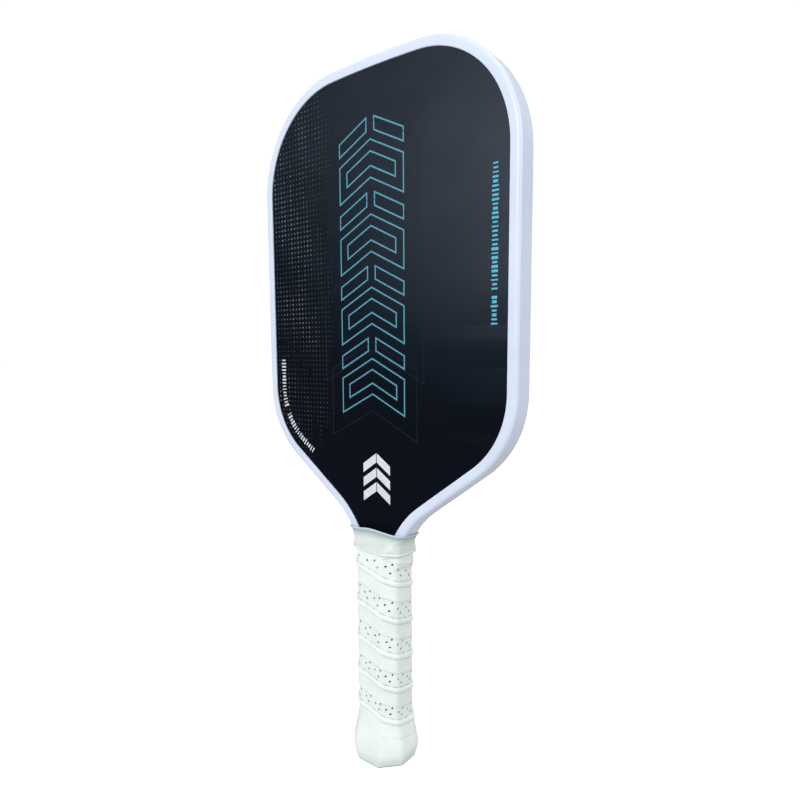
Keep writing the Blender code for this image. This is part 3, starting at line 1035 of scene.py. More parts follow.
@dataclass
class FacePrint:
    """The printed art of one face: thin films of ink that lie on the carbon ply."""

    outline: Outline
    facing: Facing
    inks: dict[Ink, bpy.types.Material]
    film: float = 0.03
    sink: float = 0.02
    throat_z: float = 150
    seed: int = 7

    line_width: float = 0.85
    column: Span = (-27.0, 22.0)
    column_foot: float = 217.0
    column_pitch: float = 41.5
    repeats: int = 4
    chevron_rise: float = 12.0
    chevron_height: float = 21
    inner_inset: float = 5.8
    parted_start: float = 27
    parted_height: float = 7.5
    parted_gap: float = 6
    least_mitre: float = 0.35
    ghost_width: float = 0.34
    ghost_growth: tuple[tuple[int, float], ...] = ((0, 9), (1, 14), (3, 10))

    badge_foot: float = 163.3
    badge_pitch: float = 8.8
    badge_count: int = 3
    badge_half_width: float = 10.4
    badge_rise: float = 7.0
    badge_height: float = 5.6
    badge_slit: float = 0.25

    dot_start: Point = (-89.5, 168)
    dot_pitch: float = 3.0
    dot_columns: int = 22
    dot_rows: int = 82
    dot_margin: float = 7.0
    dot_sides: int = 8
    dot_sizes: Span = (0.26, 0.46)
    dot_end: float = -31
    least_dot: float = 0.1
    streaks: Span = (0.45, 1.35)
    streak_change: float = 0.14

    side_line: tuple[Point, Point] = ((80.9, 267.5), (80.9, 346))
    side_bars: BarRow = BarRow("side_marks", Ink.BRIGHT_TEAL, 2.15, 4.2, 0.95, (0.17, 0.205))
    shoulder_inset: float = 12.9
    shoulder_heights: Span = (190.5, 249.0)
    shoulder_bars: BarRow = BarRow("shoulder_marks", Ink.WHITE, 2.1, 4.3, 0.85, (0.46, 0.52))

    def __post_init__(self) -> None:
        """Find the surface that the print lies on."""
        self.side, self.sign = self.facing.value
        low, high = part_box(self.side + "_carbon_ply")
        self.surface = (low if self.sign < 0 else high).y / MM

    def build(self) -> None:
        """Lay down every ink."""
        dress(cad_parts[self.side + "_carbon_ply"].data, PrintedCarbon(mirror=-self.sign).make())
        broad, narrow = self._figures()
        self._outlines("line_art", broad + narrow, self.line_width, Ink.TEAL)
        ghosts = [self._offset(broad[i], growth) for i, growth in self.ghost_growth]
        self._outlines("ghost_lines", ghosts, self.ghost_width, Ink.GHOST)
        self._emblem()
        self._halftone()
        self._bars(self.side_bars, self.side_line)
        self._bars(self.shoulder_bars, self._shoulder_line())

    def _place(self, x: float, z: float, lift: float) -> Vector:
        """A point of the print as seen face on, lifted off the ply, in metres."""
        return Vector((-self.sign * x, self.surface + self.sign * lift, z)) * MM

    def _figures(self) -> tuple[list[list[Point]], list[list[Point]]]:
        """The column of chevrons that point up the face.

        Returns:
            The broad chevrons, and all the narrower figures between and inside them.
        """
        left, right = self.column
        middle = (left + right) / 2
        broad, narrow = [], []
        for i in range(self.repeats):
            z = self.column_foot + i * self.column_pitch
            peak, top = z + self.chevron_rise, z + self.chevron_height
            broad.append([(left, z), (middle, peak), (right, z), (right, top),
                          (middle, peak + self.chevron_height), (left, top)])
            narrow.append(self._offset(broad[-1], -self.inner_inset))
            for end in (left, right):
                narrow.append(self._parted_arm(end, middle, z + self.parted_start))
        return broad, narrow

    def _parted_arm(self, end: float, middle: float, z: float) -> list[Point]:
        """One arm of a narrow chevron that is parted in the middle.

        Args:
            end: Where the arm ends, across the face.
            middle: The middle of the column.
            z: The height of the arm's lower end.

        Returns:
            The arm's outline.
        """
        near = middle + math.copysign(self.parted_gap / 2, end - middle)
        rise = self.chevron_rise * (1 - (near - middle) / (end - middle))
        height = self.parted_height
        return [(end, z), (near, z + rise), (near, z + rise + height), (end, z + height)]

    def _offset(self, loop: Sequence[Point], distance: float) -> list[Point]:
        """Move the sides of a closed outline outwards.

        Args:
            loop: The outline's corners.
            distance: How far they move; less than 0 moves them inwards.

        Returns:
            The new corners, mitred.
        """
        area = sum(a[0] * b[1] - b[0] * a[1] for a, b in zip(loop, list(loop[1:]) + [loop[0]]))
        turn = 1 if area > 0 else -1
        moved = []
        for i, here in enumerate(loop):
            before, after = Vector(loop[i - 1]), Vector(loop[(i + 1) % len(loop)])
            arriving = (Vector(here) - before).normalized()
            leaving = (after - Vector(here)).normalized()
            normals = [Vector((d.y, -d.x)) * turn for d in (arriving, leaving)]
            mitre = (normals[0] + normals[1]).normalized()
            reach = distance / max(self.least_mitre, mitre.dot(normals[0]))
            moved.append(tuple(Vector(here) + mitre * reach))
        return moved

    def _slab(self, shell: bmesh.types.BMesh, outer: Sequence[Point],
              inner: Sequence[Point] | None = None) -> None:
        """Add one film of ink: a filled outline, or the ribbon between two outlines.

        Args:
            shell: Where the film is added.
            outer: Its outline.
            inner: The outline of its opening, if it has one.
        """
        rims = [[[shell.verts.new(self._place(x, z, lift)) for x, z in loop]
                 for lift in (-self.sink, self.film)] for loop in (outer, inner) if loop is not None]
        for low, high in rims:
            band(shell, low, high)
        if inner is None:
            for rim in rims[0]:
                shell.faces.new(rim)
        else:
            for outside, inside in zip(*rims):
                band(shell, outside, inside)

    def _outlines(self, name: str, figures: list[list[Point]], width: float, ink: Ink) -> None:
        """Print closed outlines as ribbons of ink.

        Args:
            name: The piece's name.
            figures: The outlines.
            width: The ribbons' width.
            ink: Their ink.
        """
        def build(shell: bmesh.types.BMesh) -> None:
            """Fill the mesh."""
            for figure in figures:
                self._slab(shell, self._offset(figure, width / 2), self._offset(figure, -width / 2))
        put(f"{self.side}_{name}", mesh_of(name, build), self.inks[ink])

    def _emblem(self) -> None:
        """A badge of stacked chevrons at the throat, each in two halves."""
        height = self.badge_height

        def build(shell: bmesh.types.BMesh) -> None:
            """Fill the mesh."""
            for i in range(self.badge_count):
                z = self.badge_foot + i * self.badge_pitch
                peak = z + self.badge_rise
                for flip in (-1, 1):
                    near, far = flip * self.badge_slit, flip * (self.badge_half_width + self.badge_slit)
                    self._slab(shell, [(near, peak), (far, z), (far, z + height), (near, peak + height)])
        put(f"{self.side}_emblem", mesh_of("emblem", build), self.inks[Ink.SILVER])

    def _join_on_face(self, pattern: Pattern, geometry: Signal) -> None:
        """End a tree whose print is flat, x across and y up, with the print in its place on the face."""
        turned = (math.pi / 2, 0, 0 if self.sign < 0 else math.pi)
        inputs = {"Geometry": geometry, "Rotation": turned, "Translation": (0, self.surface * MM, 0)}
        pattern.join(pattern.node("GeometryNodeTransform", None, inputs))

    def _inside(self, x: float, z: float) -> bool:
        """True if a point of the face is clear of the guard by the dots' margin.

        Args:
            x: Distance to the right of the middle.
            z: Height.

        Returns:
            Whether an upright line through the point crosses the outline on one side of it only.
        """
        loop = self.outline.whole(self.dot_margin, self.throat_z)
        inside = False
        for (ax, az), (bx, bz) in zip(loop, loop[1:] + loop[:1]):
            if (az > z) != (bz > z) and x < ax + (z - az) * (bx - ax) / (bz - az):
                inside = not inside
        return inside

    def _fading(self, x: float, z: float) -> float:
        """How strong the dots are at a point: weaker inwards, at both ends and lower down."""
        foot = self.dot_start[1]
        fade = min(1.0, max(0.0, (self.dot_end - x) / 32))
        ends = min(1.0, max(0.0, (z - foot) / 40)) * (1 - 0.35 * max(0.0, (z - 380) / 30))
        return fade * (ends * (0.72 + 0.36 * min(1.0, max(0.0, (z - 250) / 70))))

    def _lattice(self) -> bpy.types.Mesh:
        """The dots' middles on a square lattice, with each dot's size and tone."""
        draw = random.Random(self.seed)
        places, sizes, tones = [], [], []
        wave = [(draw.uniform(0.03, 0.16), draw.uniform(0.03, 0.16), draw.uniform(0, 6.3)) for _ in range(7)]
        for column in range(self.dot_columns):
            streak = draw.uniform(*self.streaks)
            for row in range(self.dot_rows):
                if draw.random() < self.streak_change:
                    streak = draw.uniform(*self.streaks)
                x = self.dot_start[0] + column * self.dot_pitch
                z = self.dot_start[1] + row * self.dot_pitch
                if not self._inside(x, z):
                    continue
                cluster = sum(math.sin(a * x + b * z + c) for a, b, c in wave) / 3.2
                patchy = 0.72 + 0.42 * cluster + draw.uniform(-0.18, 0.18)
                strength = min(1.0, self._fading(x, z) * streak * patchy)
                if strength >= self.least_dot:
                    places.append((x * MM, z * MM, 0))
                    sizes.append(self.dot_sizes[0] + self.dot_sizes[1] * strength)
                    tones.append(min(1.0, 0.2 + 0.8 * strength))
        guide = path_mesh("dot_lattice", places, joined=False)
        for title, values in (("size", sizes), ("tone", tones)):
            guide.attributes.new(title, "FLOAT", "POINT").data.foreach_set("value", values)
        return guide

    def _halftone(self) -> None:
        """Dots that shrink and thin out away from the left edge."""
        sizes = {"Sides": self.dot_sides, "Film": (self.film + self.sink) * MM,
                 "Finish": self.inks[Ink.DOT_GREY]}
        dots = Pattern("halftone_dots", sizes)
        inputs = {"Vertices": dots.size("Sides"), "Radius": 1.0, "Depth": dots.size("Film")}
        disc = dots.node("GeometryNodeMeshCylinder", None, inputs)
        growth = dots.stored("size", "FLOAT") * MM
        scale = dots.node("ShaderNodeCombineXYZ", None, {0: growth, 1: growth, 2: 1.0})
        self._join_on_face(dots, dots.scatter(dots.guide, disc, Scale=scale))
        put(f"{self.side}_halftone", dots.run(self._lattice(), "halftone"))

    def _bars(self, row: BarRow, line: Sequence[Point]) -> None:
        """Print a row of bars.

        Args:
            row: The row's sizes and ink.
            line: The line that it follows.
        """
        sizes = {"Pitch": row.pitch * MM, "Bar length": row.length * MM, "Bar width": row.width * MM,
                 "Film": (self.film + self.sink) * MM, "Gap start": row.bare[0], "Gap end": row.bare[1],
                 "Seed": self.seed, "Finish": self.inks[row.ink]}
        marks = Pattern("bar_row", sizes)
        inputs = {"Curve": marks.curve(), "Length": marks.size("Pitch")}
        points = marks.node("GeometryNodeCurveToPoints", {"mode": "LENGTH"}, inputs)
        count = marks.node("GeometryNodeAttributeDomainSize", {"component": "POINTCLOUD"}, {0: points})
        index = marks.node("GeometryNodeInputIndex")
        share = index / count
        bare = (share > marks.size("Gap start")) * (1 - (share > marks.size("Gap end")))
        inputs = {"Geometry": points, "Selection": bare}
        kept = marks.node("GeometryNodeDeleteGeometry", {"domain": "POINT"}, inputs)
        inputs = {0: marks.size("Bar length"), 1: marks.size("Film"), 2: marks.size("Bar width")}
        block = marks.node("ShaderNodeCombineXYZ", None, inputs)
        bar = marks.node("GeometryNodeMeshCube", None, {"Size": block})
        stretches = []
        for (low, high), seed in ((row.lengths, marks.size("Seed")), (row.widths, marks.size("Seed") + 1)):
            inputs = {2: low, 3: high, "ID": index, "Seed": seed}
            stretches.append(marks.node("FunctionNodeRandomValue", {"data_type": "FLOAT"}, inputs, 1))
        scale = marks.node("ShaderNodeCombineXYZ", None, {0: stretches[0], 1: 1.0, 2: stretches[1]})
        bars = marks.scatter(kept, bar, Rotation=points.beside("Rotation"), Scale=scale)
        self._join_on_face(marks, bars)
        guide = path_mesh(row.name, [(x * MM, z * MM, 0) for x, z in line])
        put(f"{self.side}_{row.name}", marks.run(guide, row.name))

    def _shoulder_line(self) -> list[Point]:
        """The part of the lower left outline that the white bars follow, between two heights."""
        low, high = self.shoulder_heights
        line = [point for point in self.outline.whole(self.shoulder_inset, self.throat_z) if point[0] < 0]
        across, heights = zip(*line)
        ends = [(float(np.interp(z, heights, across)), z) for z in (low, high)]
        return [ends[0], *((x, z) for x, z in line if low < z < high), ends[1]]


class Press(Enum):
    """What a line pressed into the leather changes: its depth, or the painted shade that darkens it."""

    DEPTH = 0
    DARKNESS = 1


@dataclass
class GripWrap:
    """The leather strip wound up the handle: a raised rib, a band of holes and a smooth band each turn.

    A place on the strip is given by its turn, counted downwards from the middle of the front, and by its
    height across the strip from the rib's middle. The pressed lines have a row for each kind of Press: depth,
    then the darkness of painted shade.
    """

    shape: HandleShape
    top: float
    bottom: float
    wall: float = 0.7
    round_z: float = 80.0
    round_steps: int = 1440

    pitch: float = 22.07
    closing: float = 0.4
    rib_at_front: float = 76.1
    rib_bow: Span = (1.0, 0.014)
    rib_tilt: Span = (1.58, -0.294)
    rib_half_height: float = 1.75
    rib_proud: float = 0.92
    rib_roundness: float = 0.62
    rib_end: Span = (2.40, 2.62)
    strip_low: float = -10.7
    smooth_end: float = 3.3
    first_turn: float = -3.5
    last_turn: float = 4.1
    columns_a_turn: int = 128
    reach: float = 4.0
    covered: Span = (5.4, 4.2)

    groove_gap: float = 0.22
    # In each groove and seam line, the second row is the darkness of painted shade in it.
    upper_groove: tuple[Place, Place] = ((0.12, 0.2, 0.26), (0.26, 0.34, 0.3))
    lower_groove: tuple[Span, Span] = ((0.2, 0.28), (0.24, 0.32))
    dash_pitch: float = 5.9
    lap_height: float = 0.26
    lap_edge: float = 0.3
    lap_end: float = 4.5
    # Painted shade along both edges of a lap.
    lap_line: Span = (0.13, 0.3)
    lap_turns: Span = (1.5, 1.75)
    seam_line: tuple[Span, Span] = ((0.14, 0.3), (0.18, 0.35))
    seam_across: float = -9.2
    seam_slope: float = 20.0
    seam_corner: float = 2.17
    seam_start: Span = (2.0, 2.1)
    seam_end: Span = (2.5, 2.7)
    double_proud: float = 1.4
    double_edge: Span = (124.6, 2.2)
    double_soft: float = 0.5
    # Painted shadow along the lower edge of the doubled leather.
    double_line: Span = (0.2, 0.35)
    right_side: Span = (0.8, 0.93)

    hole_rows: tuple[Span, ...] = ((5.1, 0.82), (7.7, 0.5), (10.1, 0.0))
    holes_a_turn: int = 13
    hole_band: float = 11.3
    hole_radius: float = 0.7
    hole_sides: int = 14
    hole_drift: Span = (0.06, 0.2)
    lowest_hole: float = 8
    highest_hole: float = 4.8
    seed: int = 5

    def __post_init__(self) -> None:
        """Measure the way round the handle, from the middle of the front towards +X."""
        self.turns = np.linspace(-math.pi / 2, 1.5 * math.pi, self.round_steps + 1)
        ring = self.shape.points(self.turns, np.full_like(self.turns, self.round_z))[:, :2]
        steps = np.linalg.norm(np.diff(ring, axis=0), axis=1)
        self.girth = float(steps.sum())
        self.shares = np.concatenate([[0.0], np.cumsum(steps) / self.girth])

    def _angle(self, turn: np.ndarray) -> np.ndarray:
        """The angle round the axis at a number of turns along the strip."""
        return np.interp(np.mod(turn, 1.0), self.shares, self.turns)

    def _rib_height(self, turn: np.ndarray) -> np.ndarray:
        """Height of the rib's middle: a helix, wound closer lower down, that bows up on the wide faces."""
        bow = self.rib_bow[0] * np.cos(4 * math.pi * (turn - self.rib_bow[1]))
        tilt = self.rib_tilt[0] * np.cos(2 * math.pi * (turn - self.rib_tilt[1]))
        return self.rib_at_front - self.pitch * turn + self.closing * turn**2 + bow + tilt

    def _strip_high(self, turn: np.ndarray) -> np.ndarray:
        """Height of the strip's upper edge above the rib, where the turn above meets it."""
        return self.strip_low + self._rib_height(turn - 1) - self._rib_height(turn)

    def _pressed(self, turn: np.ndarray, across: np.ndarray, what: Press) -> tuple[np.ndarray, np.ndarray]:
        """The lines pressed into the leather.

        Args:
            turn: Turns along the strip.
            across: Height above the rib's middle.
            what: Whether their depth or the darkness of their painted shade is wanted.

        Returns:
            The grooves beside the rib, and the butt's seam.
        """
        edge = self.rib_half_height + self.groove_gap
        plain, dash, spread = self.upper_groove[what.value]
        upper = (plain + dash * self._dashes(turn)) * self._ridge(across - edge, spread)
        strength, spread = self.lower_groove[what.value]
        lower = strength * self._ridge(across + edge, spread)
        strength, spread = self.seam_line[what.value]
        fall = self.seam_slope * np.clip(self.seam_corner - turn, 0, 0.3)
        seam = strength * self._ridge(across - self.seam_across + fall, spread)
        shown = self._step(turn, *self.seam_start) * (1 - self._step(turn, *self.seam_end))
        return upper + lower, seam * shown

    def _raised(self, turn: np.ndarray, across: np.ndarray, z: np.ndarray) -> np.ndarray:
        """How far the surface stands proud of the plain section.

        Args:
            turn: Turns along the strip.
            across: Height above the rib's middle.
            z: Height on the handle.

        Returns:
            The displacement in millimetres.
        """
        dome = np.clip(1 - (across / self.rib_half_height) ** 2, 0, 1) ** self.rib_roundness * self.rib_proud
        grooves, seam = self._pressed(turn, across, Press.DEPTH)
        up = across - self.strip_low
        lap = self.lap_height * (1 - self._step(up, self.lap_edge, self.lap_end))
        lap = lap * self._step(up, 0, self.lap_edge) * self._lapped(turn)
        drift = 0.05 * np.sin(turn * 11.3 + across * 0.35) + 0.04 * np.sin(turn * 23.7 - across * 0.6 + 1.0)
        edge = self._double_end(turn)
        double = self.double_proud * self._step(z, edge - self.double_soft, edge + self.double_soft)
        shape = (dome - grooves + lap) * self._ribbed(turn) - seam + drift
        return shape * self._uncovered(z) + double * self._on_right(turn)

    def _ribbed(self, turn: np.ndarray) -> np.ndarray:
        """1 where the strip has its rib, and 0 past the rib's end."""
        return 1 - self._step(turn, *self.rib_end)

    def _lapped(self, turn: np.ndarray) -> np.ndarray:
        """1 where one turn's edge shows on the next, and 0 near the butt."""
        return 1 - self._step(turn, *self.lap_turns)

    def _uncovered(self, z: np.ndarray) -> np.ndarray:
        """1 below the collar, and 0 where the rib and the seams have flattened out towards the tape."""
        return 1 - self._step(z, self.top - self.covered[0], self.top - self.covered[1])

    def _double_end(self, turn: np.ndarray) -> np.ndarray:
        """Height of the lower edge of the strip's cut end, which doubles the leather by the collar."""
        height, fall = self.double_edge
        return height - fall * np.sin(self._angle(turn))

    def _on_right(self, turn: np.ndarray) -> np.ndarray:
        """1 on the handle's right side, and 0 past its corners."""
        return self._step(np.cos(self._angle(turn)), *self.right_side)

    def _dashes(self, turn: np.ndarray) -> np.ndarray:
        """1 in the deeper dashes of the groove above the rib, which painted shade also darkens."""
        run = turn * self.girth
        return self._step(np.sin(2 * math.pi * run / self.dash_pitch + 0.9 * np.sin(run * 0.31)), 0.05, 0.45)

    @staticmethod
    def _ridge(distance: np.ndarray, spread: float) -> np.ndarray:
        """1 at no distance, fading softly over a spread."""
        return np.exp(-((distance / spread) ** 2))

    @staticmethod
    def _step(value: np.ndarray, low: float, high: float) -> np.ndarray:
        """A smooth step from 0 to 1."""
        t = np.clip((value - low) / (high - low), 0, 1)
        return t * t * (3 - 2 * t)

    def _rows(self) -> np.ndarray:
        """The heights across the strip at which it is meshed, closest over the rib and its grooves."""
        half = self.rib_half_height
        parts = [np.linspace(self.strip_low, self.strip_low + 0.45, 4), np.linspace(-9.4, -3.1, 5),
                 np.linspace(0.6 - half, half - 0.6, 7), np.linspace(self.smooth_end, 2 * self.smooth_end, 7)]
        parts += [np.linspace(side + 0.7, side - 0.35, 7) for side in (-half - 0.35, half)]
        return np.unique(np.round(np.concatenate(parts), 4))

    def _sleeve(self) -> bpy.types.Mesh:
        """The wound strip as one thin sheet, before its wall and its holes."""
        count = int((self.last_turn - self.first_turn) * self.columns_a_turn)
        turn = self.first_turn + np.arange(count + 1)[:, None] / self.columns_a_turn
        across, turn = np.broadcast_arrays(self._rows()[None, :], turn)
        stretch = self._strip_high(turn) / self.smooth_end - 2
        across = across + np.clip(across - self.smooth_end, 0, None) * stretch
        z = self._rib_height(turn) + across
        angle = self._angle(turn)
        height = np.clip(z, self.bottom - 1, self.top + 1)
        outer = self.shape.points(angle, height)
        outer[..., 2] = z
        outer += self.shape.normals(angle, height) * self._raised(turn, across, z)[..., None]
        rows = outer.shape[1]
        shell = bmesh.new()
        verts = [shell.verts.new(Vector(p) * MM) for p in outer.reshape(-1, 3)]
        for i in range(count):
            for j in range(rows - 1):
                if self.bottom - self.reach < z[i, j] < self.top + self.reach:
                    low = i * rows + j
                    shell.faces.new([verts[k] for k in (low, low + rows, low + rows + 1, low + 1)])
        bmesh.ops.delete(shell, geom=[v for v in shell.verts if not v.link_faces], context="VERTS")
        bmesh.ops.remove_doubles(shell, verts=shell.verts, dist=0.02 * MM)
        for end, direction in ((self.top, 1), (self.bottom, -1)):
            everything = list(shell.verts) + list(shell.edges) + list(shell.faces)
            bmesh.ops.bisect_plane(shell, geom=everything, dist=1e-7, plane_co=(0, 0, end * MM),
                                   plane_no=(0, 0, direction), clear_outer=True)
        bmesh.ops.recalc_face_normals(shell, faces=shell.faces)
        mesh = bpy.data.meshes.new("wrap_sleeve")
        shell.to_mesh(mesh)
        shell.free()
        return mesh

    def _holes(self) -> bpy.types.Mesh:
        """The middles of the holes and the directions in which they are punched."""
        draw = random.Random(self.seed)
        places, outwards = [], []
        first, last = int(self.first_turn * self.holes_a_turn), int(self.rib_end[0] * self.holes_a_turn)
        along, up = self.hole_drift
        for across, phase in self.hole_rows:
            for i in range(first, last):
                turn = (i + phase + draw.uniform(-along, along)) / self.holes_a_turn
                squeeze = float(self._strip_high(turn)) / self.hole_band
                z = float(self._rib_height(turn)) + across * squeeze + draw.uniform(-up, up)
                if not self.lowest_hole < z < self.top - self.highest_hole:
                    continue
                angle, height = np.array([float(self._angle(turn))]), np.array([z])
                places.append(tuple(self.shape.points(angle, height)[0] * MM))
                outwards.append(self.shape.normals(angle, height)[0])
        guide = path_mesh("hole_middles", places, joined=False)
        attribute = guide.attributes.new("outward", "FLOAT_VECTOR", "POINT")
        attribute.data.foreach_set("vector", np.array(outwards, np.float32).ravel())
        log.info("%d holes in the wrap", len(places))
        return guide

    def build(self) -> None:
        """Wind the strip, give it its wall, punch it and dress it."""
        strip = add_object("wrap_sleeve", self._sleeve())
        wall = strip.modifiers.new("wall", "SOLIDIFY")
        wall.thickness = self.wall * MM
        wall.offset = -1
        sizes = {"Strip": strip, "Hole radius": self.hole_radius * MM, "Hole depth": 4 * self.wall * MM,
                 "Hole sides": self.hole_sides, "Finish": GripLeather().make()}
        punch = Pattern("strip_perforations", sizes)
        inputs = {"Vertices": punch.size("Hole sides"), "Radius": punch.size("Hole radius"),
                  "Depth": punch.size("Hole depth")}
        pin = punch.node("GeometryNodeMeshCylinder", None, inputs)
        inputs = {"Vector": punch.stored("outward", "FLOAT_VECTOR")}
        turned = punch.node("FunctionNodeAlignRotationToVector", {"axis": "Z"}, inputs)
        pins = punch.scatter(punch.guide, pin, Rotation=turned)
        pins = punch.node("GeometryNodeRealizeInstances", None, {0: pins})
        settings = {"operation": "DIFFERENCE", "solver": "MANIFOLD"}
        inputs = {"Mesh 1": punch.shape_of("Strip"), "Mesh 2": pins}
        punch.join(punch.node("GeometryNodeMeshBoolean", settings, inputs))
        mesh = punch.run(self._holes(), "grip_wrap")
        bpy.data.objects.remove(strip)
        self._mark_grooves(mesh)
        put("grip_wrap", mesh, sharp=48, stands_for=["grip_skin"])

    def _mark_grooves(self, mesh: bpy.types.Mesh) -> None:
        """Record the painted shade of grooves, seams, lap edges and the doubled edge, as a point attribute.
        """
        places = np.zeros(len(mesh.vertices) * 3, np.float32)
        mesh.vertices.foreach_get("co", places)
        x, y, z = places.reshape(-1, 3).T / MM
        angle = np.mod(np.arctan2(y, x) + math.pi / 2, 2 * math.pi) - math.pi / 2
        turn = np.interp(angle, self.turns, self.shares)
        turns_in_all = int(self.last_turn - self.first_turn) + 1
        for _ in range(turns_in_all):
            turn = turn - (z >= self._rib_height(turn) + self._strip_high(turn))
        for _ in range(turns_in_all):
            turn = turn + (z < self._rib_height(turn) + self.strip_low)
        across = z - self._rib_height(turn)
        grooves, seam = self._pressed(turn, across, Press.DARKNESS)
        # Painted shade along the edges where one turn laps over the next.
        strength, spread = self.lap_line
        low_edge, high_edge = across - self.strip_low, across - self._strip_high(turn)
        lap = strength * (self._ridge(low_edge, spread) + self._ridge(high_edge, spread))
        lines = grooves + lap * self._lapped(turn)
        # Painted shadow under the doubled leather's lower edge.
        strength, spread = self.double_line
        end = strength * self._ridge(z - self._double_end(turn) + self.double_soft, spread)
        pressed = lines * self._ribbed(turn) * self._uncovered(z) + seam + end * self._on_right(turn)
        pressed = np.clip(pressed, 0, 1).astype(np.float32)
        mesh.attributes.new("pressed", "FLOAT", "POINT").data.foreach_set("value", pressed)


@dataclass
class Collar:
    """The stretched rubber band over the joint of grip and neck: a wavy lip and a rolled lower edge.

    The roll and the bead are (how proud, how tall), the lip's lifts are (angle in degrees, height), and
    the tuck is (depth, distance below the lip, spread).
    """

    shape: HandleShape
    wall: float = 0.8
    lip_wall: float = 0.35
    pull_start: float = 139.0
    lip_lifts: tuple[Span, ...] = (
        (-180, -0.5), (-150, 0.2), (-120, 1.3), (-90, 1.3), (-55, 0.7), (-25, -0.1), (25, -1.8), (90, -0.6),
        (140, -0.4))
    roll: Span = (0.45, 1.7)
    lip_bead: Span = (0.26, 1.3)
    tuck: Place = (0.6, 2.8, 1.1)
    faces: Span = (0.2, 0.5)
    right_side: Span = (0.8, 0.93)
    right_swell: float = 1.4
    swell_heights: Span = (3.0, 8.0)
    tilt: Span = (-0.07, -0.05)
    slant_height: float = 5.5
    sides: int = 240
    steps: int = 60

    def __post_init__(self) -> None:
        """Find the band's ends and smooth the pull of its lip."""
        self.bottom, self.top = self.shape.sections[0][0], self.shape.sections[-1][0]
        self.turn = np.linspace(-math.pi, math.pi, self.sides, endpoint=False)
        angles, lifts = np.array(self.lip_lifts).T
        pull = np.interp(np.degrees(self.turn), angles, lifts, period=360)
        width = self.sides // 10
        window = np.hanning(width) / np.hanning(width).sum()
        around = np.concatenate([pull[-width:], pull, pull[:width]])
        self.pull = np.convolve(around, window, "same")[width:-width]

    @staticmethod
    def _half_round(distance: float, height: float) -> float:
        """Height, 0 to 1, of a half round that is height tall and starts at 0."""
        return math.sqrt(max(0.0, 1 - (2 * distance / height - 1) ** 2))

    def _ring(self, z: float, inset: float, outside: bool) -> np.ndarray:
        """One ring of the band.

        Args:
            z: Its height before the lip is pulled askew.
            inset: How far it lies inside the outer surface.
            outside: True on the outer surface, which has the rolled edge and the bead.

        Returns:
            The ring's points, in millimetres.
        """
        up, down = z - self.bottom, self.top - z
        low, high = self.faces
        front = np.clip((np.abs(np.sin(self.turn)) - low) / (high - low), 0, 1)
        low, high = self.right_side
        right = np.clip((np.cos(self.turn) - low) / (high - low), 0, 1)
        depth, below, spread = self.tuck
        swell = -depth * math.exp(-(((down - below) / spread) ** 2)) * front
        swell = swell + self.right_swell * right * (1 - part(up, *self.swell_heights))
        if outside:
            swell = swell + self.roll[0] * self._half_round(up, self.roll[1])
            swell = swell + self.lip_bead[0] * self._half_round(down, self.lip_bead[1]) * front
        ring = self.shape.points(self.turn, np.full(self.sides, z), inset)
        outward = ring[:, :2] / np.linalg.norm(ring[:, :2], axis=1, keepdims=True)
        ring[:, :2] += outward * swell[:, None]
        askew = ring[:, 0] * self.tilt[0] + ring[:, 1] * self.tilt[1]
        slant = (askew - askew.min()) * max(0.0, 1 - up / self.slant_height)
        ring[:, 2] += self.pull * part(z, self.pull_start, self.top) + slant
        return ring

    def build(self) -> None:
        """Loft the band from its outside over its lip and down its inside."""
        levels = [self.bottom + (self.top - self.bottom) * i / self.steps for i in range(self.steps + 1)]
        rings = [self._ring(z, 0.0, True) for z in levels]
        for z in reversed(levels):
            wall = self.wall + (self.lip_wall - self.wall) * part(z, self.pull_start, self.top)
            rings.append(self._ring(z, wall, False))
        mesh = loft("stretch_collar", rings, levels + levels[::-1])
        put("stretch_collar", mesh, CollarRubber().make(), sharp=50, stands_for=["grip_collar"])


@dataclass
class ButtCap:
    """The cup in the end of the handle, whose rim shows below the leather.

    The recess and the foot are lists of (distance in from the rim, height), and the edge is the same.
    """

    rim: HandleShape
    socket: HandleShape
    top: float
    inset: float = 2.3
    floor: float = 3.3
    wall: float = 1.0
    floor_rounding: float = 0.2
    floor_middle: float = 12.0
    rim_rounding: float = 0.25
    recess: tuple[Span, ...] = ((15.0, 0.5), (9.0, 0.5), (5.2, 0.5), (4.9, 0.42), (4.6, 0.12))
    foot: tuple[Span, ...] = ((4.3, 0.0), (1.2, 0.0), (0.45, 0.05), (0.12, 0.2))
    side_heights: tuple[float, ...] = (0.5, 0.8, 1.2, 1.7, 2.1)
    neck_start: float = 0.6
    neck_rings: int = 10
    sides: int = 192

    def _ring(self, shape: HandleShape, z: float, inset: float) -> np.ndarray:
        """One ring of the cup, as far inside a shape as its inset says."""
        turn = np.linspace(0, 2 * math.pi, self.sides, endpoint=False)
        return shape.points(turn, np.full(self.sides, z), inset)

    def build(self) -> None:
        """Loft the cup from the middle of its recessed end to the middle of its floor."""
        rings = []
        for inset, height in self.recess + self.foot:
            rings.append(self._ring(self.rim, 0.0, inset))
            rings[-1][:, 2] = height
        rim_top = self.rim.sections[-1][0]
        rings += [self._ring(self.rim, z, 0.0) for z in self.side_heights]
        rings += [self._ring(self.rim, rim_top, inset) for inset in (self.rim_rounding, self.inset)]
        heights = np.linspace(rim_top + self.neck_start, self.top, self.neck_rings)
        inside = self.inset + self.wall
        rings += [self._ring(self.socket, float(z), self.inset) for z in heights]
        rings += [self._ring(self.socket, float(z), inside) for z in heights[::-1]]
        for inset in (inside + self.floor_rounding, self.floor_middle):
            rings.append(self._ring(self.socket, self.floor, inset))
        put("cap_shell", loft("cap_shell", rings), CapPlastic().make(), sharp=45, stands_for=["butt_cap"])


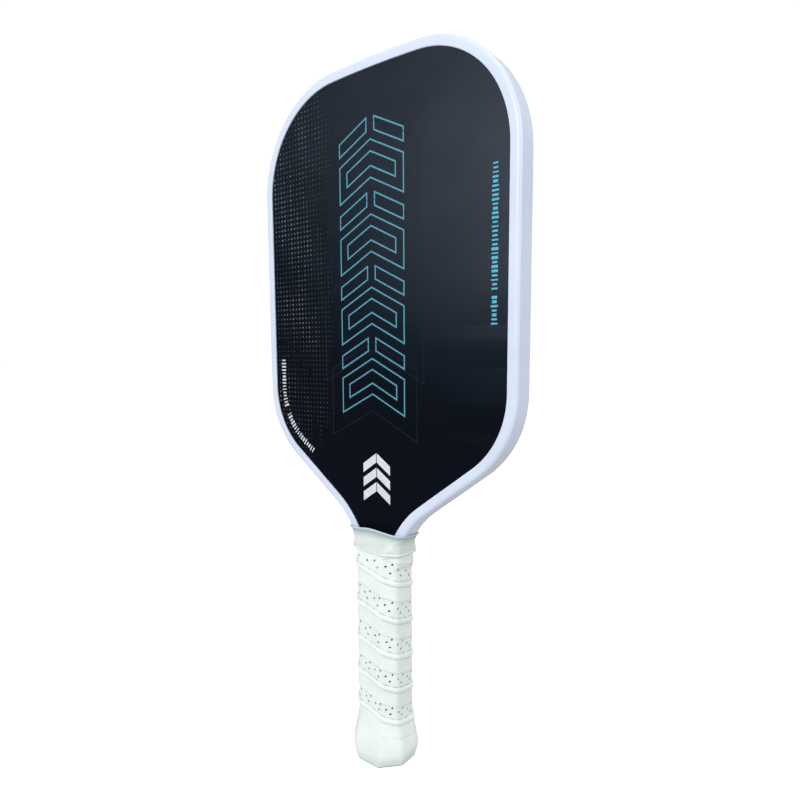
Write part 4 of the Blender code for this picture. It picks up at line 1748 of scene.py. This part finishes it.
@dataclass
class InnerParts:
    """Finishes of the pieces that stay as the CAD made them."""

    plastic: tuple[Colour, Colour] = (shade(206, 206, 202), shade(188, 189, 186))
    foam: tuple[Colour, Colour] = (shade(222, 214, 186), shade(196, 186, 152))
    glass: tuple[Colour, Colour] = (shade(190, 194, 176), shade(168, 174, 158))
    pallet: tuple[Colour, Colour] = (shade(70, 71, 74), shade(52, 53, 56))
    felt: tuple[Colour, Colour] = (shade(52, 58, 60), shade(34, 38, 40))
    tape: tuple[Colour, Colour] = (shade(243, 251, 249), shade(236, 245, 243))

    def build(self) -> None:
        """Give each of them its material."""
        finishes = {
            "honeycomb_core": InnerFinish("polypropylene", *self.plastic, 1.4, 0.5),
            "perimeter_foam": InnerFinish("rim_foam", *self.foam, 0.8, 0.82, 0.08),
        }
        for side, weave in (("front", (1, 1, 0.2)), ("rear", (0.2, 1, 1))):
            finishes[side + "_glass_ply"] = InnerFinish(side + "_glass", *self.glass, 0.6, 0.48, 0.03, weave)
        for side in ("front", "rear"):
            finishes[side + "_handle_pallet"] = InnerFinish(side + "_pallet", *self.pallet, 0.9, 0.55)
        finishes["grip_cushion"] = InnerFinish("cushion_felt", *self.felt, 0.35, 0.92, 0.08)
        tape = InnerFinish("finishing_tape", *self.tape, 1.1, 0.42, 0.01, (1, 1, 4))
        finishes["grip_finishing_tape"] = tape
        for name, finish in finishes.items():
            dress(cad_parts[name].data, finish.make())
            log.info("%s dressed", name)


GRIP_SHAPE = HandleShape((
    (2.6, 19.2, 17.2, 10.2, 44), (5, 20.0, 17.65, 10.1, 34), (8.5, 20.3, 17.78, 9.8, 28),
    (12, 19.8, 17.5, 9.4, 26), (17, 18.6, 16.5, 8.6, 26), (24, 16.9, 14.9, 7.3, 28),
    (30, 16.1, 14.1, 6.6, 28), (36, 15.9, 13.9, 6.5, 30), (42, 15.9, 13.9, 6.5, 30),
    (120, 15.9, 14.0, 6.5, 30), (128, 15.9, 14.0, 6.5, 30), (135.8, 15.7, 12.3, 5.2, 28)))
RIM_SHAPE = HandleShape(((0, 18.2, 16.2, 10.4, 90), (0.8, 18.7, 16.7, 10.4, 90), (2.3, 18.8, 16.8, 10.3, 90)))
COLLAR_SHAPE = HandleShape((
    (132.4, 17.5, 15.0, 5.8, 18), (134.4, 17.4, 14.6, 5.6, 18), (136.4, 17.6, 14.1, 5.0, 16),
    (139.4, 18.6, 11.8, 4.0, 14), (142, 20.2, 10.1, 3.0, 16), (144.2, 21.3, 9.6, 2.8, 20),
    (146.4, 22.5, 10.4, 3.2, 24)))


def main() -> None:
    """Build the paddle's looks in order, from the studio to the handle."""
    logging.basicConfig(level=logging.INFO, format="%(name)s %(message)s")
    Studio().build()
    outline = Outline()
    EdgeGuard(outline).build()
    inks = {ink: ink.make() for ink in Ink}
    for facing in Facing:
        FacePrint(outline, facing, inks).build()
    skin_low, skin_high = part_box("grip_skin")
    GripWrap(GRIP_SHAPE, top=skin_high.z / MM, bottom=skin_low.z / MM).build()
    Collar(COLLAR_SHAPE).build()
    _, cap_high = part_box("butt_cap")
    ButtCap(RIM_SHAPE, GRIP_SHAPE, top=cap_high.z / MM).build()
    InnerParts().build()


if __name__ == "__main__":
    main()
